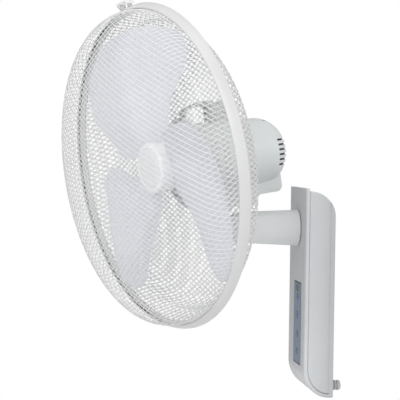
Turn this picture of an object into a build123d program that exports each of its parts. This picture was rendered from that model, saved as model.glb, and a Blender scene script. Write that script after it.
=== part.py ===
"""Wall mounted fan: a wall unit with a control panel, a tapered arm and a swinging, tilting head.

Units are millimetres. +Z is up, the wall is the plane Y = 0 and the fan blows towards -Y.
The origin is the centre of the wall plate on the wall. The model stands in the pose of the
reference view: the head is swung towards +X and tilted a little down.
"""

from build123d import *
import math
import os

os.makedirs("parts", exist_ok=True)

# ---------------------------------------------------------------- wall unit
BOX_HALF_W = 54.0  # half width of the front cover
BODY_HALF_W = 53.3  # half width of the back housing, a hair inside the cover
RIM_HALF_W = 53.9  # half width of the housing's rim against the wall
RIM_D = 6.0
BOX_D = 41.0  # depth from the wall to the cover's face
BOX_TOP = 142.3  # top of the cover
BOX_BOTTOM = -142.5
FOOT_Z, FOOT_Y = -103.0, -6.0  # centre of the curved lower end
COVER_T = 5.0  # depth of the cover's rim
COVER_WALL = 2.5
COVER_ROUND = 3.0
BODY_TOP = 138.3
TOP_ROUND = 34.0  # the housing's shoulder
BODY_ROUND = 2.5  # its side edges
SHELL = 2.5
BACK_RECESS = 3.0  # recess in the housing's back that the wall plate lies in
RECESS_TOP, RECESS_BOTTOM = 98.0, -112.0
PLATE_W, PLATE_H, PLATE_T = 80.0, 150.0, 2.0
PLATE_HOLE_X, PLATE_HOLE_Z, PLATE_HOLE_R = 60.0, 120.0, 2.75
HOOK_X, HOOK_Z = 24.0, 30.0
SCREW_R = 1.75
COVER_SCREWS = ((-44, 90), (44, 90), (-44, -100), (44, -100))
GLAND_X, GLAND_Z, GLAND_R = 35.0, -128.0, 7.0
GLAND_OUT = 14.0  # how far the cable gland stands out behind the wall plane

# ---------------------------------------------------------------- control panel
PANEL_X, PANEL_W = 6.0, 46.0
PANEL_TOP, PANEL_BOTTOM = 12.0, -102.0
PANEL_T, PANEL_PROUD, PANEL_ROUND = 1.5, 0.3, 2.8
BUTTONS = (
    ("power_button", -9.5),
    ("speed_button", -34.0),
    ("swing_button", -61.0),
    ("timer_button", -84.8),
)
BUTTON_R = 4.6
WINDOW_W, WINDOW_H, WINDOW_Z = 26.0, 8.0, 2.9
BOARD_DEPTH, BOARD_T = 26.0, 1.6
BOARD_POSTS = ((-36, -2), (36, -2), (-36, -84), (36, -84))

# ---------------------------------------------------------------- arm and tilt hinge
ARM_Z = 86.3
ARM_R_BOX, ARM_R_MID, ARM_R_END = 25.0, 22.3, 20.4
ARM_NECK_R, ARM_HOLE_R = 21.0, 22.6
ARM_FLANGE_R, ARM_FLANGE_T, ARM_FLANGE_DEPTH = 37.0, 4.0, 20.0
ARM_BOLT_R, ARM_BOLTS = 31.0, 4
TILT_DEPTH = 149.0  # tilt hinge, ahead of the wall
TILT_REST = 8.74  # degrees the head looks down in this pose
TILT_BOLT_R = 4.0
KNUCKLE_R, KNUCKLE_HALF_W, SLOT_HALF_W = 16.5, 11.8, 12.2
RUN_GAP = 0.06  # radial running clearance

# ---------------------------------------------------------------- swing drive
SWING_REST = 23.75  # degrees the head is swung towards +X in this pose
AXIS_RISE = 95.1  # the head's axis above the tilt hinge
RING_REACH = 85.9  # the clamp ring ahead of the swing axis
POST_R, SPIGOT_R = 11.5, 9.0
NECK_FLANGE_R, NECK_TOP = 19.0, 24.8  # neck flange, and the face the head turns on
MODULE = 1.0
SECTOR_TEETH, PINION_TEETH = 36, 12
SECTOR_HALF_COUNT = 5  # teeth cut on each side of the middle one
SECTOR_ADDENDUM, PINION_ADDENDUM, DEDENDUM = 0.75, 0.85, 1.25
BACKLASH = 0.2
PRESSURE_ANGLE = math.radians(20)
GEAR_LOW, GEAR_HIGH = 29.9, 34.4
CENTRES = MODULE * (SECTOR_TEETH + PINION_TEETH) / 2

# gear housing under the motor, ahead of the ring and above the head's axis
CASE_HALF_W, CASE_WALL = 24.0, 2.5
CASE_FRONT, CASE_STEP, CASE_REAR = -56.0, -133.5, -180.0
CASE_DEEP, CASE_BOTTOM = -69.0, -58.0
CASE_SCREWS = ((-17.0, -67.0), (17.0, -67.0), (-14.0, -170.0), (14.0, -170.0))

# ---------------------------------------------------------------- cage
RING_R = 220.0  # outside of the clamp ring
NET_R = 212.5  # outside of the front net's wall
RIM_R = 215.4  # rims of both nets, inside the ring's channel
NET_T = 1.5
STRAND_W, STRAND_PITCH, STRANDS = 2.2, 31.4, 14
STRAND_ANGLE = 24.5  # degrees from level, both ways
SHOULDER_R, SHOULDER_A, SHOULDER_END = 35.0, 16.0, 73.0
DOME_R = 618.0
FLOOR_R, FLOOR_A, CORNER_R = 172.3, -14.9, 25.0
HUB_PLATE_R, HUB_PLATE_FRONT = 62.0, -42.9
SPLIT_AZIMUTH = 94.7  # where the ring is split, from the viewer's right
SPLIT_GAP = 5.0
LATCH_HINGE_X, LATCH_HINGE_RISE = -11.0, 222.7
LATCH_PIN_R = 1.0

# ---------------------------------------------------------------- propeller
TIP_R = 189.0
HUB_R, HUB_FRONT, HUB_REAR, HUB_WALL = 34.0, 14.0, -24.0, 2.5
CAP_R, CAP_SEAT = 26.5, 11.0
BLADES, BLADE_AZIMUTH = 3, 89.0
# distance along the blade, then leading and trailing edge as (towards the rotation, ahead)
BLADE_STATIONS = (
    (12.0, (18.0, -13.0), (-62.0, 15.0)),
    (60.0, (46.0, -14.0), (-110.0, 32.5)),
    (100.0, (74.0, -16.0), (-140.0, 35.5)),
    (150.0, (108.0, -18.5), (-140.0, 39.0)),
    (200.0, (142.0, -18.5), (-126.0, 43.0)),
)
BLADE_T = 2.4
BLADE_CAMBER = 0.05
LEAD_ANGLE, TRAIL_ANGLE = 28.0, 25.0  # from the blade's middle line to the tip corners
# further points of both edges as radius and degrees from the middle line
LEAD_POINTS = ((24.0, 27.5), (62.0, 21.5), (94.0, 22.3), (125.0, 28.0), (157.0, 30.8))
TRAIL_POINTS = ((166.5, 44.5), (145.0, 52.7), (115.5, 59.0), (88.0, 64.5), (59.0, 75.3), (36.0, 64.0))
TIP_ROUND = 16.0

# ---------------------------------------------------------------- motor
MOTOR_FRONT, MOTOR_SPLIT, MOTOR_REAR = -44.7, -122.0, -197.0
MOTOR_FRONT_R, MOTOR_SPLIT_R = 52.0, 50.5
MOTOR_WALL = 2.5
TAIL_ARC_R, TAIL_ARC_A, TAIL_ARC_OFF = 40.0, -157.0, 8.0
BOSS_R, BOSS_FRONT = 16.9, -31.0
SHAFT_R = 4.0
BEARING_R, BEARING_W, BEARING_REAR = 11.0, 7.0, -168.0
STATOR_R, STATOR_BORE = 39.5, 24.0
CORE_FRONT, CORE_REAR = -82.0, -122.0
MOTOR_SCREW_R, MOTOR_SCREW_ANGLES = 44.4, (65, 115, 245, 295)
MOTOR_SCREW_SEAT, MOTOR_SCREW_LENGTH = -156.0, 40.0
HANDLE_HALF_W = 9.0
VENT_PITCH, VENT_H, VENT_ROWS, VENT_START, VENT_RIB = 6.8, 2.8, 6, -168.0, 9.0
VENT_MIDDLE = -3.5  # the slots' middle against the motor's axis


# ---------------------------------------------------------------- frames and helpers
def save(builder, name):
    """Label a finished piece and write it as one STEP file."""
    builder.part.label = name
    export_step(builder.part, f"parts/{name}.step")


tilt_frame = Location((0, -TILT_DEPTH, ARM_Z), (TILT_REST, 0, 0))
swing_frame = tilt_frame * Location((0, 0, 0), (0, 0, SWING_REST))
head_frame = swing_frame * Location((0, -RING_REACH, AXIS_RISE))


def from_wall(depth):
    """A plane facing forwards at a depth ahead of the wall; sketch X is X and sketch Y is Z."""
    return Plane.XZ.offset(depth)


def level(frame, z=0.0):
    """A plane of the frame facing up; sketch X points right and sketch Y backwards."""
    return Plane(frame * Location((0, 0, z)))


def facing(frame, ahead=0.0):
    """A plane of the frame facing forwards; sketch X points right and sketch Y up."""
    return Plane(frame * Location((0, -ahead, 0), (90, 0, 0)))


def section(frame, x=0.0):
    """The frame's upright lengthwise plane: sketch X points forwards and sketch Y up."""
    return Plane(frame * Location((x, 0, 0), (0, 0, -90)) * Location((0, 0, 0), (90, 0, 0)))


def long_axis(frame):
    """The frame's forward axis."""
    plane = section(frame)
    return Axis(plane.origin, plane.x_dir)


def up_axis(frame):
    """The frame's upward axis."""
    plane = section(frame)
    return Axis(plane.origin, plane.y_dir)


HEAD_SECTION = section(head_frame)
HEAD_AXIS = long_axis(head_frame)
HEAD_RIGHT = level(head_frame).x_dir
HEAD_UP = level(head_frame).z_dir


def on_circle(centre, radius, degrees):
    """A point of a circle in a sketch."""
    turn = math.radians(degrees)
    return (centre[0] + radius * math.cos(turn), centre[1] + radius * math.sin(turn))


def round_arc(centre, radius, start, end):
    """An arc between two angles, inside a BuildLine."""
    middle = (start + end) / 2
    ThreePointArc(
        on_circle(centre, radius, start),
        on_circle(centre, radius, middle),
        on_circle(centre, radius, end),
    )


def head_ring(inner, outer, low, high, mode=Mode.ADD):
    """Revolve a plain ring about the head's axis inside the current part."""
    with BuildSketch(HEAD_SECTION) as ring:
        with Locations(((low + high) / 2, (inner + outer) / 2)):
            Rectangle(high - low, outer - inner)
    revolve(ring.sketch, axis=HEAD_AXIS, mode=mode)


def upright(frame, radius, low, high, mode=Mode.ADD, place=(0, 0)):
    """Add an upright cylinder in a frame inside the current part."""
    with BuildSketch(level(frame, low)) as disc:
        with Locations(place):
            Circle(radius)
    extrude(disc.sketch, amount=high - low, mode=mode)


def screws(plane, places, head, shank):
    """Pan head screws; head and shank are (radius, length) and the plane faces the driver."""
    with BuildSketch(plane) as heads:
        with Locations(*places):
            Circle(head[0])
    extrude(heads.sketch, amount=head[1])
    with BuildSketch(plane) as shanks:
        with Locations(*places):
            Circle(shank[0])
    extrude(shanks.sketch, amount=-shank[1])
    with BuildSketch(plane.offset(head[1])) as crosses:
        with Locations(*places):
            Rectangle(head[0] * 1.2, 0.8)
            Rectangle(0.8, head[0] * 1.2)
    extrude(crosses.sketch, amount=-head[1] * 0.5, mode=Mode.SUBTRACT)


def holes(plane, places, radius, depth, mode=Mode.SUBTRACT):
    """Round holes, or round posts with Mode.ADD, from a plane against its normal."""
    with BuildSketch(plane) as spots:
        with Locations(*places):
            Circle(radius)
    extrude(spots.sketch, amount=-depth, mode=mode)


ARM_BOLT_PLACES = tuple(
    on_circle((0, ARM_Z), ARM_BOLT_R, 45 + 360 * number / ARM_BOLTS) for number in range(ARM_BOLTS)
)
PLATE_PLACES = tuple(
    (side * PLATE_HOLE_X / 2, rise * PLATE_HOLE_Z / 2) for side in (-1, 1) for rise in (-1, 1)
)
BUTTON_PLACES = tuple((PANEL_X, height) for name, height in BUTTONS)
INNER_BACK = BACK_RECESS + SHELL


def foot_arc(radius_y, radius_z):
    """The quarter ellipse of the curved lower end, inside a BuildLine."""
    EllipticalCenterArc((FOOT_Y, FOOT_Z), radius_y, radius_z, start_angle=180, arc_size=90)


# ---------------------------------------------------------------- back housing
def housing_outline(front, inset):
    """Side outline of the back housing, from its open front to its back."""
    foot_y, foot_z = BOX_D + FOOT_Y - inset, FOOT_Z - BOX_BOTTOM - inset
    with BuildLine() as line:
        Polyline((-front, FOOT_Z), (-front, BODY_TOP), (-TOP_ROUND, BODY_TOP))
        round_arc((-TOP_ROUND, BODY_TOP - TOP_ROUND), TOP_ROUND, 90, 0)
        Polyline((0, BODY_TOP - TOP_ROUND), (0, FOOT_Z - foot_z), (FOOT_Y, FOOT_Z - foot_z))
        foot_arc(foot_y, foot_z)
    make_face(line.edges())


with BuildPart() as back_housing:
    with BuildSketch(Plane.YZ):
        housing_outline(BOX_D - COVER_T, COVER_T)
    extrude(amount=BODY_HALF_W, both=True)
    # soft side edges at the foot and at the shoulder
    for curve in (GeomType.ELLIPSE, GeomType.CIRCLE):
        fillet(back_housing.edges().filter_by(curve), BODY_ROUND)
    with BuildSketch(Plane.YZ):
        housing_outline(BOX_D - COVER_T, COVER_T)
        with Locations((-RIM_D / 2, 0)):
            Rectangle(RIM_D, 2 * BOX_D + BODY_TOP * 2, mode=Mode.INTERSECT)
    extrude(amount=RIM_HALF_W, both=True)
    with BuildSketch(Plane.YZ):
        with BuildLine():
            Polyline(
                (-INNER_BACK, BODY_TOP - TOP_ROUND),
                (-INNER_BACK, BOX_BOTTOM),
                (-BOX_D, BOX_BOTTOM),
                (-BOX_D, BODY_TOP - SHELL),
                (-TOP_ROUND, BODY_TOP - SHELL),
            )
            EllipticalCenterArc(
                (-TOP_ROUND, BODY_TOP - TOP_ROUND),
                TOP_ROUND - INNER_BACK,
                TOP_ROUND - SHELL,
                start_angle=0,
                arc_size=90,
            )
        make_face()
    extrude(amount=BOX_HALF_W - SHELL, both=True, mode=Mode.SUBTRACT)
    # recess for the wall plate, with a rim all round that meets the wall
    with BuildSketch(from_wall(0)):
        with Locations((0, (RECESS_TOP + RECESS_BOTTOM) / 2)):
            RectangleRounded(2 * BOX_HALF_W - 12, RECESS_TOP - RECESS_BOTTOM, 6)
    extrude(amount=BACK_RECESS, mode=Mode.SUBTRACT)
    # posts for the arm's flange and for the circuit board
    holes(from_wall(ARM_FLANGE_DEPTH), ARM_BOLT_PLACES, 6, ARM_FLANGE_DEPTH - INNER_BACK, Mode.ADD)
    holes(from_wall(BOARD_DEPTH), BOARD_POSTS, 4, BOARD_DEPTH - INNER_BACK, Mode.ADD)
    holes(from_wall(ARM_FLANGE_DEPTH), ARM_BOLT_PLACES, SCREW_R, 14)
    holes(from_wall(BOARD_DEPTH), BOARD_POSTS, 1.2, 10)
    # cover screws, hook slots, pockets over the wall screws and the cable entry
    holes(from_wall(BOX_D), COVER_SCREWS, SCREW_R, BOX_D)
    holes(from_wall(INNER_BACK + 1), PLATE_PLACES, 7, INNER_BACK + 1)
    holes(from_wall(INNER_BACK + 1), [(GLAND_X, GLAND_Z)], GLAND_R, INNER_BACK + 1)
    with BuildSketch(from_wall(0)):
        with GridLocations(2 * HOOK_X, 2 * HOOK_Z, 2, 2):
            RectangleRounded(13, 17, 2)
    extrude(amount=INNER_BACK + 1, mode=Mode.SUBTRACT)
save(back_housing, "back_housing")

# ---------------------------------------------------------------- wall plate
with BuildPart() as wall_plate:
    with BuildSketch(from_wall(0)):
        RectangleRounded(PLATE_W, PLATE_H, 8)
        with Locations(*PLATE_PLACES):
            Circle(PLATE_HOLE_R, mode=Mode.SUBTRACT)
        with GridLocations(2 * HOOK_X, 2 * HOOK_Z, 2, 2):
            with Locations((0, -2)):
                Rectangle(9, 11, mode=Mode.SUBTRACT)
    extrude(amount=PLATE_T)
    # hooks bent forwards out of the windows
    for side in (-HOOK_X, HOOK_X):
        for rise in (-HOOK_Z, HOOK_Z):
            with BuildSketch(Plane.YZ.offset(side)):
                with BuildLine():
                    Polyline(
                        (-PLATE_T / 2, rise + 3.5),
                        (-PLATE_T / 2, rise + 7.5),
                        (-6.2, rise + 7.5),
                        (-6.2, rise + 14.5),
                        (-8.2, rise + 14.5),
                        (-8.2, rise + 5.5),
                        (-3.4, rise + 5.5),
                        close=True,
                    )
                make_face()
            extrude(amount=4.5, both=True)
save(wall_plate, "wall_plate")

# ---------------------------------------------------------------- front cover
with BuildPart() as front_cover:
    with BuildSketch(Plane.YZ):
        with BuildLine():
            Polyline(
                (FOOT_Y, BOX_BOTTOM),
                (0, BOX_BOTTOM),
                (0, BOX_TOP),
                (-BOX_D, BOX_TOP),
                (-BOX_D, FOOT_Z),
            )
            foot_arc(BOX_D + FOOT_Y, FOOT_Z - BOX_BOTTOM)
        make_face()
    extrude(amount=BOX_HALF_W, both=True)
    fillet(
        [
            edge
            for edge in front_cover.edges()
            if abs(edge.center().X) > BOX_HALF_W - 0.1 and edge.center().Y < -1
        ],
        COVER_ROUND,
    )
    # the band ends on the back housing
    foot_y = BOX_D + FOOT_Y - COVER_T
    foot_z = FOOT_Z - BOX_BOTTOM - COVER_T
    with BuildSketch(Plane.YZ):
        with BuildLine():
            Polyline(
                (FOOT_Y, FOOT_Z - foot_z),
                (1, FOOT_Z - foot_z),
                (1, BOX_TOP + 1),
                (COVER_T - BOX_D, BOX_TOP + 1),
                (COVER_T - BOX_D, FOOT_Z),
            )
            foot_arc(foot_y, foot_z)
        make_face()
    extrude(amount=BOX_HALF_W + 1, both=True, mode=Mode.SUBTRACT)
    # hollow behind the face
    with BuildSketch(Plane.YZ):
        with BuildLine():
            Polyline(
                (FOOT_Y, BOX_BOTTOM + COVER_WALL),
                (-COVER_WALL, BOX_BOTTOM + COVER_WALL),
                (-COVER_WALL, BODY_TOP - 5.5),
                (COVER_WALL - BOX_D, BODY_TOP - 5.5),
                (COVER_WALL - BOX_D, FOOT_Z),
            )
            foot_arc(BOX_D + FOOT_Y - COVER_WALL, FOOT_Z - BOX_BOTTOM - COVER_WALL)
        make_face()
    extrude(amount=BOX_HALF_W - 2 * COVER_WALL, both=True, mode=Mode.SUBTRACT)
    # bosses for the cover screws
    with BuildSketch(from_wall(BOX_D - COVER_WALL)):
        with Locations(*COVER_SCREWS):
            Circle(3.7)
    extrude(amount=-(BOX_D - COVER_WALL - INNER_BACK))
    holes(from_wall(BOX_D - 8), COVER_SCREWS, 1.5, 40)
    # opening for the arm, seat of the control panel, window and buttons
    holes(from_wall(BOX_D + 1), [(0, ARM_Z)], ARM_HOLE_R, 8)
    with BuildSketch(from_wall(BOX_D)):
        with Locations((PANEL_X, (PANEL_TOP + PANEL_BOTTOM) / 2)):
            RectangleRounded(PANEL_W + 0.4, PANEL_TOP - PANEL_BOTTOM + 0.4, PANEL_ROUND + 0.2)
    extrude(amount=PANEL_PROUD - PANEL_T, mode=Mode.SUBTRACT)
    with BuildSketch(from_wall(BOX_D)):
        with Locations((PANEL_X, WINDOW_Z)):
            RectangleRounded(WINDOW_W - 4, WINDOW_H - 3, 1)
        with Locations(*BUTTON_PLACES):
            Circle(BUTTON_R + RUN_GAP)
    extrude(amount=-COVER_T, mode=Mode.SUBTRACT)
save(front_cover, "front_cover")

# ---------------------------------------------------------------- control panel and its parts
with BuildPart() as control_panel:
    with BuildSketch(from_wall(BOX_D + PANEL_PROUD)):
        with Locations((PANEL_X, (PANEL_TOP + PANEL_BOTTOM) / 2)):
            RectangleRounded(PANEL_W, PANEL_TOP - PANEL_BOTTOM, PANEL_ROUND)
        with Locations((PANEL_X, WINDOW_Z)):
            RectangleRounded(WINDOW_W + 0.2, WINDOW_H + 0.2, 2, mode=Mode.SUBTRACT)
        with Locations(*BUTTON_PLACES):
            Circle(BUTTON_R + 0.35, mode=Mode.SUBTRACT)
    extrude(amount=-PANEL_T)
save(control_panel, "control_panel")

with BuildPart() as display_window:
    with BuildSketch(from_wall(BOX_D + PANEL_PROUD)):
        with Locations((PANEL_X, WINDOW_Z)):
            RectangleRounded(WINDOW_W, WINDOW_H, 1.9)
    extrude(amount=-PANEL_T)
save(display_window, "display_window")

for name, height in BUTTONS:
    with BuildPart() as button:
        with BuildSketch(from_wall(BOX_D - 1)):
            with Locations((PANEL_X, height)):
                Circle(BUTTON_R)
        extrude(amount=2.4)
        fillet(button.edges().group_by(Axis.Y)[0], 0.7)
        holes(from_wall(BOX_D - 1), [(PANEL_X, height)], BUTTON_R, 1.8, Mode.ADD)
        holes(from_wall(BOX_D - COVER_WALL - 0.3), [(PANEL_X, height)], 6.2, 1.6, Mode.ADD)
        holes(from_wall(BOX_D - COVER_WALL - 1.9), [(PANEL_X, height)], 2, 5.2, Mode.ADD)
    save(button, name)

with BuildPart() as control_board:
    with BuildSketch(from_wall(BOARD_DEPTH)):
        with Locations((0, -43)):
            RectangleRounded(80, 102, 2)
        with Locations(*BOARD_POSTS):
            Circle(1.3, mode=Mode.SUBTRACT)
    extrude(amount=BOARD_T)
    # push switches behind the buttons, lamp block behind the window, relays and a transformer
    board_face = from_wall(BOARD_DEPTH + BOARD_T)
    with BuildSketch(board_face):
        with Locations(*BUTTON_PLACES):
            Rectangle(6.2, 6.2)
    extrude(amount=2)
    holes(from_wall(BOARD_DEPTH + BOARD_T + 2.3), BUTTON_PLACES, 1.6, 2.3, Mode.ADD)
    with BuildSketch(board_face):
        with Locations((PANEL_X, WINDOW_Z)):
            Rectangle(20, 4)
    extrude(amount=6)
    with BuildSketch(board_face):
        with Locations((-26, -24), (-26, -44), (-26, -64)):
            Rectangle(15, 12)
    extrude(amount=7)
    with BuildSketch(from_wall(BOARD_DEPTH)):
        with Locations((-14, -50)):
            RectangleRounded(32, 26, 2)
    extrude(amount=-14)
save(control_board, "control_board")

with BuildPart() as board_screws:
    screws(from_wall(BOARD_DEPTH + BOARD_T), BOARD_POSTS, (2.6, 1.8), (1.2, 9))
save(board_screws, "board_screws")

with BuildPart() as run_capacitor:
    with BuildSketch(from_wall(INNER_BACK)):
        with Locations((-18, -111)):
            RectangleRounded(38, 24, 3)
    extrude(amount=19)
save(run_capacitor, "run_capacitor")

with BuildPart() as terminal_block:
    with BuildSketch(from_wall(INNER_BACK)):
        with Locations((22, -107)):
            RectangleRounded(30, 13, 1)
    extrude(amount=13)
    with BuildSketch(from_wall(INNER_BACK + 13)):
        with Locations((22, -107)):
            with GridLocations(9.5, 1, 3, 1):
                Circle(2.6)
    extrude(amount=-5, mode=Mode.SUBTRACT)
save(terminal_block, "terminal_block")

with BuildPart() as cover_screws:
    from_behind = Plane((0, -BACK_RECESS, 0), (-1, 0, 0), (0, 1, 0))
    screws(from_behind, [(-x, z) for x, z in COVER_SCREWS], (3.2, 2.2), (1.5, 24))
save(cover_screws, "cover_screws")

with BuildPart() as cable_gland:
    gland_plane = Plane((GLAND_X, 0, GLAND_Z), x_dir=(0, 1, 0), z_dir=(1, 0, 0))
    with BuildSketch(gland_plane):
        with BuildLine():
            Polyline(
                (-INNER_BACK - 2.5, 3.6),
                (-INNER_BACK - 2.5, GLAND_R + 2.4),
                (-INNER_BACK, GLAND_R + 2.4),
                (-INNER_BACK, GLAND_R - 0.1),
                (GLAND_OUT - 2, GLAND_R - 0.1),
                (GLAND_OUT, GLAND_R - 2),
                (GLAND_OUT, 3.6),
                close=True,
            )
        make_face()
        with Locations((4.0, GLAND_R - 0.2), (8.2, GLAND_R - 0.2)):
            Rectangle(1.6, 2.4, mode=Mode.SUBTRACT)
    revolve(axis=Axis((GLAND_X, 0, GLAND_Z), (0, 1, 0)))
save(cable_gland, "cable_gland")

# ---------------------------------------------------------------- arm
arm_frame = Location((0, 0, ARM_Z))
ARM_SECTION = section(arm_frame)
ARM_AXIS = long_axis(arm_frame)

with BuildPart() as arm_tube:
    with BuildSketch(ARM_SECTION):
        with BuildLine():
            Polyline(
                (ARM_FLANGE_DEPTH, 0),
                (ARM_FLANGE_DEPTH, ARM_FLANGE_R),
                (ARM_FLANGE_DEPTH + ARM_FLANGE_T, ARM_FLANGE_R),
                (ARM_FLANGE_DEPTH + ARM_FLANGE_T, ARM_NECK_R),
                (BOX_D + 0.4, ARM_NECK_R),
                (BOX_D + 0.4, ARM_R_BOX - 1.6),
            )
            ThreePointArc(
                (BOX_D + 0.4, ARM_R_BOX - 1.6),
                (BOX_D + 0.9, ARM_R_BOX - 0.4),
                (BOX_D + 2.2, ARM_R_BOX),
            )
            Polyline((BOX_D + 2.2, ARM_R_BOX), (103, ARM_R_MID), (134, ARM_R_END), (TILT_DEPTH, ARM_R_END))
            round_arc((TILT_DEPTH, 0), ARM_R_END, 90, 0)
            Line((TILT_DEPTH + ARM_R_END, 0), (ARM_FLANGE_DEPTH, 0))
        make_face()
    revolve(axis=ARM_AXIS)
    # hollow, then the cable way into the slot
    with BuildSketch(ARM_SECTION):
        with BuildLine():
            Polyline((0, 0), (0, 18), (BOX_D + 4, 18), (112, 17), (118, 6), (160, 6), (160, 0), close=True)
        make_face()
    revolve(axis=ARM_AXIS, mode=Mode.SUBTRACT)
    # slot between the clevis ears
    with BuildSketch(section(arm_frame)):
        with Locations((TILT_DEPTH + 6.5, 0)):
            Rectangle(48, 4 * ARM_R_END)
    extrude(amount=SLOT_HALF_W, both=True, mode=Mode.SUBTRACT)
    # tilt bolt, with spot faces for its head and nut
    with BuildSketch(section(arm_frame)):
        with Locations((TILT_DEPTH, 0)):
            Circle(TILT_BOLT_R)
    extrude(amount=2 * ARM_R_END, both=True, mode=Mode.SUBTRACT)
    for side in (-1, 1):
        with BuildSketch(Plane.YZ.offset(side * 16.2)):
            with Locations((-TILT_DEPTH, ARM_Z)):
                Circle(8.4)
        extrude(amount=side * 6, mode=Mode.SUBTRACT)
    holes(from_wall(ARM_FLANGE_DEPTH + ARM_FLANGE_T), ARM_BOLT_PLACES, SCREW_R, 5)
save(arm_tube, "arm_tube")

with BuildPart() as arm_screws:
    screws(from_wall(ARM_FLANGE_DEPTH + ARM_FLANGE_T), ARM_BOLT_PLACES, (3.6, 2.6), (SCREW_R, 16))
save(arm_screws, "arm_screws")

with BuildPart() as tilt_bolt:
    with BuildSketch(Plane.YZ.offset(16.2)):
        with Locations((-TILT_DEPTH, ARM_Z)):
            Circle(7.4)
    extrude(amount=3.4)
    with BuildSketch(Plane.YZ.offset(19.6)):
        with Locations((-TILT_DEPTH, ARM_Z)):
            RegularPolygon(3.4, 6)
    extrude(amount=-2, mode=Mode.SUBTRACT)
    with BuildSketch(Plane.YZ.offset(16.2)):
        with Locations((-TILT_DEPTH, ARM_Z)):
            Circle(TILT_BOLT_R)
    extrude(amount=-37.6)
save(tilt_bolt, "tilt_bolt")

with BuildPart() as tilt_nut:
    with BuildSketch(Plane.YZ.offset(-16.2)):
        with Locations((-TILT_DEPTH, ARM_Z)):
            RegularPolygon(7.2, 6)
            Circle(TILT_BOLT_R, mode=Mode.SUBTRACT)
    extrude(amount=-5)
save(tilt_nut, "tilt_nut")

# ---------------------------------------------------------------- neck and sector gear
with BuildPart() as neck:
    with BuildSketch(section(tilt_frame)):
        Circle(KNUCKLE_R)
    extrude(amount=KNUCKLE_HALF_W, both=True)
    upright(tilt_frame, POST_R, 0, NECK_TOP - 2)
    with BuildSketch(section(tilt_frame)):
        with BuildLine():
            Polyline(
                (0, NECK_TOP - 4),
                (POST_R - 0.5, NECK_TOP - 4),
                (NECK_FLANGE_R, NECK_TOP - 2.4),
                (NECK_FLANGE_R, NECK_TOP),
                (SPIGOT_R, NECK_TOP),
                (SPIGOT_R, GEAR_HIGH),
                (0, GEAR_HIGH),
                close=True,
            )
        make_face()
    revolve(axis=up_axis(tilt_frame))
    with BuildSketch(section(tilt_frame)):
        Circle(TILT_BOLT_R + RUN_GAP)
    extrude(amount=KNUCKLE_HALF_W + 1, both=True, mode=Mode.SUBTRACT)
    upright(tilt_frame, 1.9, GEAR_HIGH - 14, GEAR_HIGH, Mode.SUBTRACT)
save(neck, "neck")


def tooth_outline(teeth, addendum, middle):
    """One gear tooth about the sketch origin, its middle at an angle in degrees."""
    pitch_r = MODULE * teeth / 2
    base_r = pitch_r * math.cos(PRESSURE_ANGLE)
    tip_r = pitch_r + addendum * MODULE
    foot_r = pitch_r - DEDENDUM * MODULE
    half_pitch = (math.pi * MODULE / 2 - BACKLASH / 2) / (2 * pitch_r)
    pitch_involute = math.tan(PRESSURE_ANGLE) - PRESSURE_ANGLE

    def half_angle(radius):
        """Half the tooth's angle at a radius."""
        pressure = math.acos(min(1.0, base_r / radius))
        return math.degrees(half_pitch + pitch_involute - math.tan(pressure) + pressure)

    start_r = max(base_r, foot_r)
    waist_r = (start_r + tip_r) / 2
    with BuildLine() as line:
        flank_right = [on_circle((0, 0), r, middle - half_angle(r)) for r in (start_r, waist_r, tip_r)]
        flank_left = [on_circle((0, 0), r, middle + half_angle(r)) for r in (tip_r, waist_r, start_r)]
        ThreePointArc(*flank_right)
        ThreePointArc(flank_right[2], on_circle((0, 0), tip_r, middle), flank_left[0])
        ThreePointArc(*flank_left)
        Polyline(
            flank_left[2],
            on_circle((0, 0), foot_r - 0.6, middle + half_angle(start_r)),
            on_circle((0, 0), foot_r - 0.6, middle - half_angle(start_r)),
            flank_right[0],
        )
    make_face(line.edges())


SECTOR_FOOT_R = MODULE * (SECTOR_TEETH / 2 - DEDENDUM)
PINION_FOOT_R = MODULE * (PINION_TEETH / 2 - DEDENDUM)

with BuildPart() as sector_gear:
    with BuildSketch(level(tilt_frame, GEAR_LOW)):
        Circle(SECTOR_FOOT_R)
        for number in range(-SECTOR_HALF_COUNT, SECTOR_HALF_COUNT + 1):
            tooth_outline(SECTOR_TEETH, SECTOR_ADDENDUM, 90 + 360 / SECTOR_TEETH * number)
        Circle(SPIGOT_R, mode=Mode.SUBTRACT)
        with PolarLocations(12.6, 4, start_angle=225, angular_range=270):
            Circle(1.4, mode=Mode.SUBTRACT)
    extrude(amount=GEAR_HIGH - GEAR_LOW)
save(sector_gear, "sector_gear")

with BuildPart() as swing_screw:
    upright(tilt_frame, 12.0, GEAR_HIGH, GEAR_HIGH + 1.2)
    screws(level(tilt_frame, GEAR_HIGH + 1.2), [(0, 0)], (4.4, 2.8), (1.9, 14))
save(swing_screw, "swing_screw")

# the pinion's phase follows from the angle between the sector's teeth and the line of centres
tooth_step = 360 / SECTOR_TEETH
sector_offset = -(SWING_REST % tooth_step)
pinion_space = -90 - sector_offset * SECTOR_TEETH / PINION_TEETH
pinion_frame = swing_frame * Location((0, CENTRES, 0))
PINION_SHAFT_R = 2.5

with BuildPart() as swing_pinion:
    with BuildSketch(level(pinion_frame, GEAR_LOW + 0.2)):
        Circle(PINION_FOOT_R)
        for number in range(PINION_TEETH):
            tooth_outline(
                PINION_TEETH, PINION_ADDENDUM, pinion_space + 360 / PINION_TEETH * (number + 0.5)
            )
    extrude(amount=GEAR_HIGH - GEAR_LOW - 0.2)
    upright(pinion_frame, PINION_SHAFT_R, GEAR_HIGH - 1, GEAR_HIGH + 7)
save(swing_pinion, "swing_pinion")

# ---------------------------------------------------------------- gear housing
TAIL_CENTRE = (TAIL_ARC_A, TAIL_ARC_OFF)


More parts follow.
